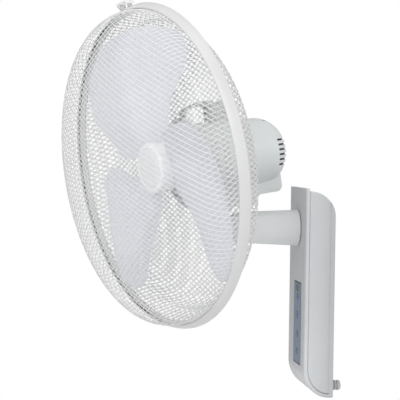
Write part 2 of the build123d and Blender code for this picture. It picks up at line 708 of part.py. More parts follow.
def motor_outline(inset, front=MOTOR_FRONT):
    """Half outline of both motor covers about the head's axis, moved in by an inset."""
    tail_r = TAIL_ARC_R - inset
    with BuildLine() as line:
        Polyline(
            (MOTOR_REAR + inset, 0),
            (MOTOR_REAR + inset, TAIL_ARC_OFF),
        )
        round_arc(TAIL_CENTRE, tail_r, 180, 90)
        Polyline(
            (TAIL_ARC_A, TAIL_ARC_OFF + tail_r),
            (MOTOR_SPLIT, MOTOR_SPLIT_R - inset),
            (front - inset, MOTOR_FRONT_R - inset),
            (front - inset, 0),
            (MOTOR_REAR + inset, 0),
        )
    make_face(line.edges())


def case_outline(inset, top):
    """Side outline of the gear housing, moved in by an inset."""
    with BuildLine() as line:
        Polyline(
            (CASE_FRONT - inset, top),
            (CASE_FRONT - inset, CASE_DEEP + inset + 5),
            (CASE_FRONT - inset - 5, CASE_DEEP + inset),
            (CASE_STEP + 4, CASE_DEEP + inset),
            (CASE_STEP - 8, CASE_BOTTOM + inset),
            (CASE_REAR + inset + 9, CASE_BOTTOM + inset),
        )
        round_arc((CASE_REAR + inset + 9, CASE_BOTTOM + inset + 9), 9, 270, 180)
        Polyline(
            (CASE_REAR + inset, CASE_BOTTOM + inset + 9),
            (CASE_REAR + inset, top),
            (CASE_FRONT - inset, top),
        )
    make_face(line.edges())


with BuildPart() as gear_housing:
    with BuildSketch(HEAD_SECTION):
        case_outline(0, -12)
    extrude(amount=CASE_HALF_W, both=True)
    with BuildSketch(HEAD_SECTION):
        case_outline(CASE_WALL, -10)
    extrude(amount=CASE_HALF_W - CASE_WALL, both=True, mode=Mode.SUBTRACT)
    # bosses for the screws that hold the motor covers
    with BuildSketch(level(head_frame, CASE_DEEP + 1)):
        with Locations(*[(x, -ahead) for x, ahead in CASE_SCREWS[:2]]):
            Circle(4)
    extrude(amount=40)
    with BuildSketch(level(head_frame, CASE_BOTTOM + 1)):
        with Locations(*[(x, -ahead) for x, ahead in CASE_SCREWS[2:]]):
            Circle(4)
    extrude(amount=30)
    # everything ends on the motor covers
    with BuildSketch(HEAD_SECTION):
        motor_outline(0)
    revolve(axis=HEAD_AXIS, mode=Mode.SUBTRACT)
    upright(swing_frame, 11.5, 20, 40, Mode.SUBTRACT)
    for places, base in ((CASE_SCREWS[:2], CASE_DEEP), (CASE_SCREWS[2:], CASE_BOTTOM)):
        spots = [(x, -ahead) for x, ahead in places]
        with BuildSketch(level(head_frame, base - 1)):
            with Locations(*spots):
                Circle(3)
        extrude(amount=3.4, mode=Mode.SUBTRACT)
        with BuildSketch(level(head_frame, base - 1)):
            with Locations(*spots):
                Circle(SCREW_R)
        extrude(amount=60, mode=Mode.SUBTRACT)
save(gear_housing, "gear_housing")

with BuildPart() as housing_screws:
    for places, base, reach in ((CASE_SCREWS[:2], CASE_DEEP, 24), (CASE_SCREWS[2:], CASE_BOTTOM, 18)):
        down = Plane(level(head_frame, base + 2.4).origin, HEAD_RIGHT, -HEAD_UP)
        screws(down, [(x, ahead) for x, ahead in places], (2.8, 2), (SCREW_R, reach))
save(housing_screws, "housing_screws")

with BuildPart() as swing_bush:
    with BuildSketch(section(swing_frame)):
        with BuildLine():
            Polyline(
                (SPIGOT_R + RUN_GAP, NECK_TOP + 0.05),
                (18, NECK_TOP + 0.05),
                (18, CASE_DEEP + AXIS_RISE),
                (11.4, CASE_DEEP + AXIS_RISE),
                (11.4, GEAR_LOW - 0.5),
                (SPIGOT_R + RUN_GAP, GEAR_LOW - 0.5),
                close=True,
            )
        make_face()
    revolve(axis=up_axis(swing_frame))
save(swing_bush, "swing_bush")

# the swing motor's output shaft is off its middle, towards the rear
with BuildPart() as swing_motor:
    with BuildSketch(level(pinion_frame, GEAR_HIGH + 0.6)):
        with Locations((0, 8)):
            Circle(14)
            SlotOverall(41, 7)
            with GridLocations(34.4, 1, 2, 1):
                Circle(1.9, mode=Mode.SUBTRACT)
        Circle(PINION_SHAFT_R + RUN_GAP, mode=Mode.SUBTRACT)
    extrude(amount=1)
    with BuildSketch(level(pinion_frame, GEAR_HIGH + 1.6)):
        with Locations((0, 8)):
            Circle(14)
            with Locations((0, 15)):
                Rectangle(14, 6)
        Circle(PINION_SHAFT_R + RUN_GAP, mode=Mode.SUBTRACT)
    extrude(amount=7.9)
save(swing_motor, "swing_motor")

# ---------------------------------------------------------------- motor
MOTOR_SCREW_PLACES = tuple(on_circle((0, 0), MOTOR_SCREW_R, turn) for turn in MOTOR_SCREW_ANGLES)

def front_cover_outline():
    """Half section of the motor's front cover with its bearing boss, filled up to the axis."""
    with BuildLine() as line:
        Polyline(
            (MOTOR_SPLIT, 0),
            (MOTOR_SPLIT, MOTOR_SPLIT_R),
            (MOTOR_FRONT - 2, MOTOR_FRONT_R - 0.04),
        )
        ThreePointArc(
            (MOTOR_FRONT - 2, MOTOR_FRONT_R - 0.04),
            (MOTOR_FRONT - 0.6, MOTOR_FRONT_R - 0.6),
            (MOTOR_FRONT, MOTOR_FRONT_R - 2),
        )
        Polyline(
            (MOTOR_FRONT, MOTOR_FRONT_R - 2),
            (MOTOR_FRONT, BOSS_R),
            (BOSS_FRONT, BOSS_R),
            (BOSS_FRONT, 0),
            (MOTOR_SPLIT, 0),
        )
    make_face(line.edges())


with BuildPart() as motor_front_cover:
    with BuildSketch(HEAD_SECTION):
        front_cover_outline()
    revolve(axis=HEAD_AXIS)
    with BuildSketch(HEAD_SECTION):
        motor_outline(MOTOR_WALL)
    revolve(axis=HEAD_AXIS, mode=Mode.SUBTRACT)
    # bosses for the long screws, cut back to the cover's inside
    with BuildSketch(facing(head_frame, MOTOR_SPLIT - 2)):
        with Locations(*MOTOR_SCREW_PLACES):
            Circle(3.5)
    extrude(amount=9)
    with BuildSketch(facing(head_frame, MOTOR_SPLIT)):
        with Locations(*MOTOR_SCREW_PLACES):
            Circle(4.4)
    extrude(amount=7)
    with BuildSketch(facing(head_frame, MOTOR_SPLIT - 2)):
        with Locations(*MOTOR_SCREW_PLACES):
            Circle(1.5)
    extrude(amount=8, mode=Mode.SUBTRACT)
    # bearing seat and shaft hole
    head_ring(0, BEARING_R, BOSS_FRONT - BEARING_W - 2, BOSS_FRONT + 1, Mode.SUBTRACT)
    head_ring(0, 6, -60, BOSS_FRONT + 1, Mode.SUBTRACT)
    with BuildSketch(level(head_frame, -60)):
        with Locations(*[(x, -ahead) for x, ahead in CASE_SCREWS[:2]]):
            Circle(SCREW_R)
    extrude(amount=18, mode=Mode.SUBTRACT)
save(motor_front_cover, "motor_front_cover")

# carrying handle, an arch whose two feet stand on the front cover
with BuildPart() as carry_handle:
    with BuildSketch(HEAD_SECTION):
        with BuildLine():
            Polyline((-118, 47), (MOTOR_FRONT - 1.5, 47), (MOTOR_FRONT - 1.5, 58))
            Spline(
                (MOTOR_FRONT - 1.5, 58),
                (-51, 71),
                (-68, 77.3),
                (-92, 79),
                (-108, 74),
                (-118, 58),
                tangents=((0.1, 1), (-0.1, -1)),
            )
            Line((-118, 58), (-118, 47))
        make_face()
    extrude(amount=HANDLE_HALF_W, both=True)
    with BuildSketch(HEAD_SECTION):
        with BuildLine():
            Polyline((-87.5, 51.2), (-51.5, 51.8), (-51.5, 63))
            ThreePointArc((-51.5, 63), (-54.5, 68.4), (-60, 71.4))
            ThreePointArc((-60, 71.4), (-72, 73.8), (-83, 73.4))
            ThreePointArc((-83, 73.4), (-86.4, 71.8), (-87.5, 68))
            Line((-87.5, 68), (-87.5, 51.2))
        make_face()
    extrude(amount=HANDLE_HALF_W + 1, both=True, mode=Mode.SUBTRACT)
    with BuildSketch(HEAD_SECTION):
        front_cover_outline()
    revolve(axis=HEAD_AXIS, mode=Mode.SUBTRACT)
save(carry_handle, "carry_handle")

with BuildPart() as tail_bosses:
    with BuildSketch(facing(head_frame, -127)):
        with Locations(*MOTOR_SCREW_PLACES):
            Circle(4.4)
    extrude(amount=-50)
    with BuildSketch(HEAD_SECTION):
        motor_outline(MOTOR_WALL / 2)
    revolve(axis=HEAD_AXIS, mode=Mode.INTERSECT)

with BuildPart() as motor_rear_cover:
    with BuildSketch(HEAD_SECTION):
        motor_outline(0)
        with Locations((MOTOR_SPLIT + 100, 0)):
            Rectangle(200, 300, mode=Mode.SUBTRACT)
    revolve(axis=HEAD_AXIS)
    with BuildSketch(HEAD_SECTION):
        motor_outline(MOTOR_WALL)
    revolve(axis=HEAD_AXIS, mode=Mode.SUBTRACT)
    add(tail_bosses.part)
    with BuildSketch(facing(head_frame, MOTOR_SCREW_SEAT)):
        with Locations(*MOTOR_SCREW_PLACES):
            Circle(3.0)
    extrude(amount=-40, mode=Mode.SUBTRACT)
    with BuildSketch(facing(head_frame, -120)):
        with Locations(*MOTOR_SCREW_PLACES):
            Circle(SCREW_R)
    extrude(amount=-60, mode=Mode.SUBTRACT)
    # air slots round the tail, left and right of a middle rib
    for side in (-1, 1):
        with BuildSketch(section(head_frame, side * VENT_RIB)):
            with Locations((VENT_START - 18, VENT_MIDDLE)):
                with GridLocations(1, VENT_PITCH, 1, VENT_ROWS):
                    SlotOverall(36, VENT_H)
        extrude(amount=-side * 60, mode=Mode.SUBTRACT)
    with BuildSketch(level(head_frame, -60)):
        with Locations(*[(x, -ahead) for x, ahead in CASE_SCREWS[2:]]):
            Circle(SCREW_R)
    extrude(amount=30, mode=Mode.SUBTRACT)
save(motor_rear_cover, "motor_rear_cover")

# rear bell of the motor, with the seat of the rear bearing in its nose
with BuildPart() as motor_end_bracket:
    with BuildSketch(HEAD_SECTION):
        with BuildLine():
            Polyline((-124, 37.4), (-124, 47.4), (-127, 47.4), (-127, 39.4), (-158, 39.4))
            ThreePointArc((-158, 39.4), (-176.5, 30), (-186, 9))
            Polyline(
                (-186, 9),
                (-186, 0),
                (-180, 0),
                (-180, 6),
                (BEARING_REAR, 6),
                (BEARING_REAR, BEARING_R),
                (BEARING_REAR + BEARING_W, BEARING_R),
                (BEARING_REAR + BEARING_W, BEARING_R + 3),
                (-176, BEARING_R + 3),
            )
            ThreePointArc((-176, BEARING_R + 3), (-170, 29), (-156, 37.4))
            Line((-156, 37.4), (-124, 37.4))
        make_face()
    revolve(axis=HEAD_AXIS)
    with BuildSketch(facing(head_frame, -123)):
        with Locations(*MOTOR_SCREW_PLACES):
            Circle(SCREW_R)
    extrude(amount=-6, mode=Mode.SUBTRACT)
save(motor_end_bracket, "motor_end_bracket")

with BuildPart() as stator_core:
    head_ring(STATOR_BORE, STATOR_R, CORE_REAR, CORE_FRONT)
    with BuildSketch(facing(head_frame, CORE_FRONT + 1)):
        with PolarLocations(STATOR_BORE + 4, 12):
            Rectangle(9, 3)
    extrude(amount=CORE_REAR - CORE_FRONT - 2, mode=Mode.SUBTRACT)
save(stator_core, "stator_core")

with BuildPart() as stator_windings:
    head_ring(27, 37, CORE_FRONT, CORE_FRONT + 12)
    head_ring(27, 37, CORE_REAR - 12, CORE_REAR)
save(stator_windings, "stator_windings")

with BuildPart() as front_bearing:
    head_ring(SHAFT_R + RUN_GAP, BEARING_R, BOSS_FRONT - BEARING_W - 2, BOSS_FRONT - 2)
save(front_bearing, "front_bearing")

with BuildPart() as rear_bearing:
    head_ring(SHAFT_R + RUN_GAP, BEARING_R, BEARING_REAR, BEARING_REAR + BEARING_W)
save(rear_bearing, "rear_bearing")

with BuildPart() as motor_screws:
    rear_face = Plane(facing(head_frame, MOTOR_SCREW_SEAT).origin, HEAD_RIGHT, -HEAD_AXIS.direction)
    screws(rear_face, [(x, -y) for x, y in MOTOR_SCREW_PLACES], (2.8, 2), (1.5, MOTOR_SCREW_LENGTH))
save(motor_screws, "motor_screws")

# ---------------------------------------------------------------- cage
def net_cells(ahead, deep):
    """Cut the diamond openings between two families of crossing strands out of the part."""
    with BuildSketch(facing(head_frame, ahead)) as cells:
        Circle(1.1 * RING_R)
        for lean in (STRAND_ANGLE, -STRAND_ANGLE):
            with Locations(Location((0, 0, 0), (0, 0, lean))):
                with GridLocations(1, STRAND_PITCH, 1, STRANDS):
                    Rectangle(2.8 * RING_R, STRAND_W, mode=Mode.SUBTRACT)
    extrude(cells.sketch, amount=-deep, mode=Mode.SUBTRACT)


def dome_outline(inset):
    """Half outline under the front net, from its wall over the shoulder to the dome."""
    shoulder_r = SHOULDER_R - inset
    centre = (SHOULDER_A, NET_R - SHOULDER_R)
    end = on_circle(centre, shoulder_r, 90 - SHOULDER_END)
    slope = math.degrees(math.asin(end[1] / (DOME_R - inset)))
    apex = end[0] + (DOME_R - inset) * (1 - math.cos(math.radians(slope)))
    middle = (apex - (DOME_R - inset) * (1 - math.cos(math.radians(slope / 2))),
              (DOME_R - inset) * math.sin(math.radians(slope / 2)))
    with BuildLine() as line:
        Polyline((0.6, 0), (0.6, NET_R - inset), (SHOULDER_A, NET_R - inset))
        round_arc(centre, shoulder_r, 90, 90 - SHOULDER_END)
        ThreePointArc(end, middle, (apex, 0))
        Line((apex, 0), (0.6, 0))
    make_face(line.edges())


with BuildPart() as front_grille:
    with BuildSketch(HEAD_SECTION):
        dome_outline(0)
    revolve(axis=HEAD_AXIS)
    with BuildSketch(HEAD_SECTION):
        dome_outline(NET_T)
    revolve(axis=HEAD_AXIS, mode=Mode.SUBTRACT)
    net_cells(100, 100)
    head_ring(NET_R - 4, RIM_R, 0.6, 2.8)
    head_ring(NET_R - NET_T, NET_R, 0.6, 11)
save(front_grille, "front_grille")


def basket_outline(inset):
    """Half outline of the rear net: its sloping wall, corner and almost flat floor."""
    corner_r = CORNER_R - inset
    centre = (FLOOR_A, FLOOR_R)
    with BuildLine() as line:
        Polyline((0, 0), (0, NET_R - 1 - inset), (-1, NET_R - 1 - inset), on_circle(centre, corner_r, 95))
        round_arc(centre, corner_r, 95, 180)
        Polyline(
            (FLOOR_A - corner_r, FLOOR_R),
            (HUB_PLATE_FRONT + inset, HUB_PLATE_R),
            (HUB_PLATE_FRONT + inset, 0),
            (0, 0),
        )
    make_face(line.edges())


with BuildPart() as rear_grille:
    with BuildSketch(HEAD_SECTION):
        basket_outline(0)
    revolve(axis=HEAD_AXIS)
    with BuildSketch(HEAD_SECTION):
        basket_outline(NET_T)
    revolve(axis=HEAD_AXIS, mode=Mode.SUBTRACT)
    head_ring(0, HUB_PLATE_R - 5, -60, 10, Mode.SUBTRACT)
    net_cells(1, 61)
    head_ring(NET_R - 3, RIM_R, -1.1, 0.4)
    head_ring(HUB_PLATE_R - 5, HUB_PLATE_R, HUB_PLATE_FRONT, HUB_PLATE_FRONT + NET_T)
save(rear_grille, "rear_grille")

with BuildPart() as grille_plate:
    head_ring(BOSS_R + 0.1, HUB_PLATE_R, MOTOR_FRONT, HUB_PLATE_FRONT)
save(grille_plate, "grille_plate")

with BuildPart() as grille_nut:
    head_ring(BOSS_R, 21, HUB_PLATE_FRONT, BOSS_FRONT - 1)
    head_ring(BOSS_R, 27, HUB_PLATE_FRONT, HUB_PLATE_FRONT + 3)
    with BuildSketch(facing(head_frame, HUB_PLATE_FRONT)):
        with PolarLocations(23.4, 8):
            Rectangle(6, 3)
    extrude(amount=-HUB_PLATE_FRONT + BOSS_FRONT - 3)
save(grille_nut, "grille_nut")

latch_frame = head_frame * Location((0, 0, 0), (0, 90 - SPLIT_AZIMUTH, 0))

with BuildPart() as clamp_ring:
    with BuildSketch(HEAD_SECTION):
        with BuildLine():
            Polyline((-2.8, RIM_R - 3.2), (-2.8, 218.4))
            ThreePointArc((-2.8, 218.4), (-2.2, 219.7), (-0.8, RING_R))
            ThreePointArc((-0.8, RING_R), (6.2, 217.8), (10.8, 214.4))
            Polyline((10.8, 214.4), (10.8, NET_R + 0.4), (9.4, NET_R + 0.4), (9.4, 213.3))
            ThreePointArc((9.4, 213.3), (5.4, 216.2), (-0.9, 218.2))
            Polyline((-0.9, 218.2), (-1.3, 218.2), (-1.3, RIM_R - 3.2), (-2.8, RIM_R - 3.2))
        make_face()
    revolve(axis=HEAD_AXIS)
    with BuildSketch(level(latch_frame, RING_R - 12)):
        with Locations((0, -4)):
            Rectangle(SPLIT_GAP, 20)
    extrude(amount=20, mode=Mode.SUBTRACT)
    # hinge lug on one end, catch lug on the other
    with BuildSketch(Plane(latch_frame * Location((0, -1.2, 0), (90, 0, 0)))):
        with Locations((LATCH_HINGE_X, LATCH_HINGE_RISE - 2.2)):
            Rectangle(4, 4.4)
        with Locations((LATCH_HINGE_X, LATCH_HINGE_RISE)):
            Circle(2)
            Circle(LATCH_PIN_R, mode=Mode.SUBTRACT)
        with Locations((11.5, 220.6)):
            Rectangle(4, 4.4)
        with Locations((12.1, 222.4)):
            Circle(1.5)
    extrude(amount=6)
save(clamp_ring, "clamp_ring")

with BuildPart() as latch_pin:
    with BuildSketch(Plane(latch_frame * Location((LATCH_HINGE_X, 1.8, LATCH_HINGE_RISE), (90, 0, 0)))):
        Circle(LATCH_PIN_R)
    extrude(amount=12)
save(latch_pin, "latch_pin")

with BuildPart() as ring_latch:
    lever_plane = Plane(latch_frame * Location((0, 1.6, 0), (90, 0, 0)))
    with BuildSketch(lever_plane):
        with BuildLine():
            Polyline((-14.2, 225.1), (-14.2, 226.2))
            ThreePointArc((-14.2, 226.2), (0, 227.6), (15.4, 226.2))
            Polyline(
                (15.4, 226.2),
                (16.6, 224.8),
                (16.6, 221.4),
                (15.2, 221.4),
                (15.2, 224.4),
                (14.2, 225.1),
            )
            Line((14.2, 225.1), (-14.2, 225.1))
        make_face()
    extrude(amount=13)
    for start in (1.6, -7.6):
        with BuildSketch(Plane(latch_frame * Location((0, start, 0), (90, 0, 0)))):
            with Locations((LATCH_HINGE_X, LATCH_HINGE_RISE)):
                Circle(2.1)
            with Locations((LATCH_HINGE_X, LATCH_HINGE_RISE + 1.6)):
                Rectangle(4.2, 3.2)
            with Locations((LATCH_HINGE_X, LATCH_HINGE_RISE)):
                Circle(LATCH_PIN_R + RUN_GAP, mode=Mode.SUBTRACT)
        extrude(amount=2.4)
save(ring_latch, "ring_latch")

# ---------------------------------------------------------------- rotor and propeller
with BuildPart() as motor_shaft:
    head_ring(0, SHAFT_R, BEARING_REAR - 7, 6)
    with BuildSketch(section(head_frame)):
        with Locations((-16, 0)):
            Circle(1.5)
    extrude(amount=SHAFT_R + 1, both=True, mode=Mode.SUBTRACT)
save(motor_shaft, "motor_shaft")

with BuildPart() as rotor_core:
    head_ring(SHAFT_R, 23.5, CORE_REAR, CORE_FRONT)
    head_ring(17, 21, CORE_REAR - 4, CORE_FRONT + 4)
save(rotor_core, "rotor_core")

with BuildPart() as drive_pin:
    with BuildSketch(section(head_frame, -8)):
        with Locations((-16, 0)):
            Circle(1.5)
    extrude(amount=-16)
save(drive_pin, "drive_pin")

blades = []
for number in range(BLADES):
    azimuth = BLADE_AZIMUTH + 360 / BLADES * number
    blade_frame = head_frame * Location((0, 0, 0), (0, 90 - azimuth, 0))
    with BuildPart() as blade:
        for distance, lead, trail in BLADE_STATIONS:
            chord = math.hypot(lead[0] - trail[0], lead[1] - trail[1])
            along = ((lead[0] - trail[0]) / chord, -(lead[1] - trail[1]) / chord)
            bow = (-along[1] * BLADE_CAMBER * chord, along[0] * BLADE_CAMBER * chord)
            half = (-along[1] * BLADE_T / 2, along[0] * BLADE_T / 2)
            centre = ((lead[0] + trail[0]) / 2 + bow[0], -(lead[1] + trail[1]) / 2 + bow[1])
            low_lead = (lead[0] - half[0], -lead[1] - half[1])
            high_lead = (lead[0] + half[0], -lead[1] + half[1])
            low_trail = (trail[0] - half[0], -trail[1] - half[1])
            high_trail = (trail[0] + half[0], -trail[1] + half[1])
            with BuildSketch(level(blade_frame, distance)):
                with BuildLine():
                    ThreePointArc(low_trail, (centre[0] - half[0], centre[1] - half[1]), low_lead)
                    Line(low_lead, high_lead)
                    ThreePointArc(high_lead, (centre[0] + half[0], centre[1] + half[1]), high_trail)
                    Line(high_trail, low_trail)
                make_face()
        loft(ruled=False)
        # plan view of the blade, with rounded tip corners
        lead_tip = on_circle((0, 0), TIP_R, 90 - LEAD_ANGLE)
        trail_tip = on_circle((0, 0), TIP_R, 90 + TRAIL_ANGLE)
        with BuildSketch(facing(blade_frame, 70)):
            with BuildLine():
                Line((0, 0), on_circle((0, 0), LEAD_POINTS[0][0], 90 - LEAD_POINTS[0][1]))
                Spline(*[on_circle((0, 0), radius, 90 - turn) for radius, turn in LEAD_POINTS], lead_tip)
                ThreePointArc(lead_tip, (0, TIP_R), trail_tip)
                Spline(trail_tip, *[on_circle((0, 0), radius, 90 + turn) for radius, turn in TRAIL_POINTS])
                Line(on_circle((0, 0), TRAIL_POINTS[-1][0], 90 + TRAIL_POINTS[-1][1]), (0, 0))
            make_face()
            corners = [
                corner
                for corner in vertices()
                if (Vector(*lead_tip) - corner.center()).length < 1
                or (Vector(*trail_tip) - corner.center()).length < 1
            ]
            fillet(corners, TIP_ROUND)
        extrude(amount=-140, mode=Mode.INTERSECT)
    blades.append(blade.part)

with BuildPart() as propeller:
    for blade_part in blades:
        add(blade_part)
    # cup shaped hub with a rounded front edge, open to the rear
    with BuildSketch(HEAD_SECTION):
        with BuildLine():
            Polyline((HUB_REAR, 0), (HUB_REAR, HUB_R - 0.6), (HUB_FRONT - 5, HUB_R))
            ThreePointArc((HUB_FRONT - 5, HUB_R), (HUB_FRONT - 1.5, HUB_R - 1.4), (HUB_FRONT, HUB_R - 5))
            Polyline(
                (HUB_FRONT, HUB_R - 5),
                (HUB_FRONT, CAP_R + 0.3),
                (CAP_SEAT, CAP_R + 0.3),
                (CAP_SEAT, 0),
                (HUB_REAR, 0),
            )
        make_face()
    revolve(axis=HEAD_AXIS)
    head_ring(9, HUB_R - HUB_WALL - 0.6, HUB_REAR - 12, CAP_SEAT - HUB_WALL, Mode.SUBTRACT)
    head_ring(0, 9.01, HUB_REAR - 12, HUB_REAR + 4, Mode.SUBTRACT)
    with BuildSketch(facing(head_frame, HUB_REAR + 8)):
        with PolarLocations(20, 6):
            Rectangle(23.4, 1.8)
    extrude(amount=CAP_SEAT - HUB_REAR - 9)
    head_ring(0, SHAFT_R, HUB_REAR - 1, CAP_SEAT, Mode.SUBTRACT)
    head_ring(0, 7.1, -2, CAP_SEAT + 1, Mode.SUBTRACT)
    with BuildSketch(section(head_frame, -8.1)):
        with Locations((-16, 0)):
            Circle(1.5)
        with Locations((-19, 0)):
            Rectangle(6, 3)
    extrude(amount=-16.2, mode=Mode.SUBTRACT)
save(propeller, "propeller")

with BuildPart() as hub_cap:
    with BuildSketch(HEAD_SECTION):
        with BuildLine():
            Polyline((CAP_SEAT, 0), (CAP_SEAT, CAP_R), (CAP_SEAT + 2.4, CAP_R))
            ThreePointArc((CAP_SEAT + 2.4, CAP_R), (CAP_SEAT + 3.6, CAP_R - 2), (CAP_SEAT + 4.2, CAP_R - 5))
            Polyline((CAP_SEAT + 4.2, CAP_R - 5), (CAP_SEAT + 5, 0), (CAP_SEAT, 0))
        make_face()
    revolve(axis=HEAD_AXIS)
    head_ring(SHAFT_R, 7.0, -1.5, CAP_SEAT)
save(hub_cap, "hub_cap")
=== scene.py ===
"""Looks of the wall mounted fan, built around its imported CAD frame.

The head's pieces are made in the head's own axes in millimetres (X right for a viewer in front,
-Y forwards, Z up, origin at the centre of the clamp ring) and are then put in place as meshes.
Places written as (ahead, radius) are in those axes too: ahead of the ring, and out from the axis.
"""

import logging
import math
from dataclasses import dataclass, field
from enum import Enum
from typing import Callable, Optional, Sequence, Union

import bmesh
import bpy
from mathutils import Matrix, Vector

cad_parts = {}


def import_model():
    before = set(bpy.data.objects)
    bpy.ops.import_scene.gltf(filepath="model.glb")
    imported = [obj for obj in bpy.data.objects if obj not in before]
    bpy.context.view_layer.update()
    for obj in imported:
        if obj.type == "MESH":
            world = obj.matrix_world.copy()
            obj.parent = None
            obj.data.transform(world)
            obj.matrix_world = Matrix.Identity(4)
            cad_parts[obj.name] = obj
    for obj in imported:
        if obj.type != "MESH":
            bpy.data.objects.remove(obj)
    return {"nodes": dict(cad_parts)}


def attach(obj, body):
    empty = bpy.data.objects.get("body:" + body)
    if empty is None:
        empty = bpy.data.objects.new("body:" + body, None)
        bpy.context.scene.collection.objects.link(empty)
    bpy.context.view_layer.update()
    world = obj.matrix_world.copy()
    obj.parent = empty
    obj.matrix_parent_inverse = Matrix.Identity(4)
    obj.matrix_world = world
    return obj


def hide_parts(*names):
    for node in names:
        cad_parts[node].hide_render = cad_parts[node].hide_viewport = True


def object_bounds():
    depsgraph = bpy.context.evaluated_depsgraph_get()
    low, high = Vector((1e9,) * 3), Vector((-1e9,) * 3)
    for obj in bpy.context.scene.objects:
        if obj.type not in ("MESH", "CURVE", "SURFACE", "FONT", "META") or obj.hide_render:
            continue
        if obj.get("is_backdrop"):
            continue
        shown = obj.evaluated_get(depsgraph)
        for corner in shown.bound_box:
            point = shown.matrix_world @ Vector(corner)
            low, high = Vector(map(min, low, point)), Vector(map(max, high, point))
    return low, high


LOG = logging.getLogger("wall_fan")
MM = 0.001
CHORD = "chord"  # the blades' attribute: 0 on the leading edge, 1 on the trailing edge

TILT_REST = math.radians(8.74)
SWING_REST = math.radians(23.75)
PIVOT = Vector((0.0, -149.0, 86.3)) * MM
AXIS_RISE = 95.1 * MM
RING_REACH = 85.9 * MM

TILT_AXES = Matrix.Translation(PIVOT) @ Matrix.Rotation(TILT_REST, 4, "X")
SWING_AXES = TILT_AXES @ Matrix.Rotation(SWING_REST, 4, "Z")
HEAD_AXES = SWING_AXES @ Matrix.Translation((0.0, -RING_REACH, AXIS_RISE))

WELD = 0.00001  # metres between points that become one
FLAT_ANGLE = math.radians(1.0)  # faces that meet at less than this become one
SOFT_ANGLE = math.radians(40.0)  # edges that turn by more than this are softened

Colour = tuple[float, float, float]
Point = tuple[float, float]
Triple = tuple[float, float, float]
Socket = bpy.types.NodeSocket
Mesh = bpy.types.Mesh
Shape = bmesh.types.BMesh
Feed = Union[float, int, tuple, Socket, "Value"]
Feeds = Optional[dict[Union[str, int], Feed]]


# ---------------- node graphs
class Value:
    """A number in a node tree. Arithmetic on it adds the math nodes that work it out."""

    def __init__(self, graph: "Graph", socket: Socket) -> None:
        """Hold the graph that the number belongs to and the output that it comes from."""
        self.graph = graph
        self.socket = socket

    def __add__(self, other: Feed) -> "Value":
        """Self plus other."""
        return self.graph.math("ADD", self, other)

    def __sub__(self, other: Feed) -> "Value":
        """Self minus other."""
        return self.graph.math("SUBTRACT", self, other)

    def __rsub__(self, other: Feed) -> "Value":
        """Other minus self."""
        return self.graph.math("SUBTRACT", other, self)

    def __mul__(self, other: Feed) -> "Value":
        """Self times other."""
        return self.graph.math("MULTIPLY", self, other)

    def __truediv__(self, other: Feed) -> "Value":
        """Self divided by other."""
        return self.graph.math("DIVIDE", self, other)

    def __lt__(self, other: Feed) -> "Value":
        """1 where self is less than other, else 0."""
        return self.graph.math("LESS_THAN", self, other)


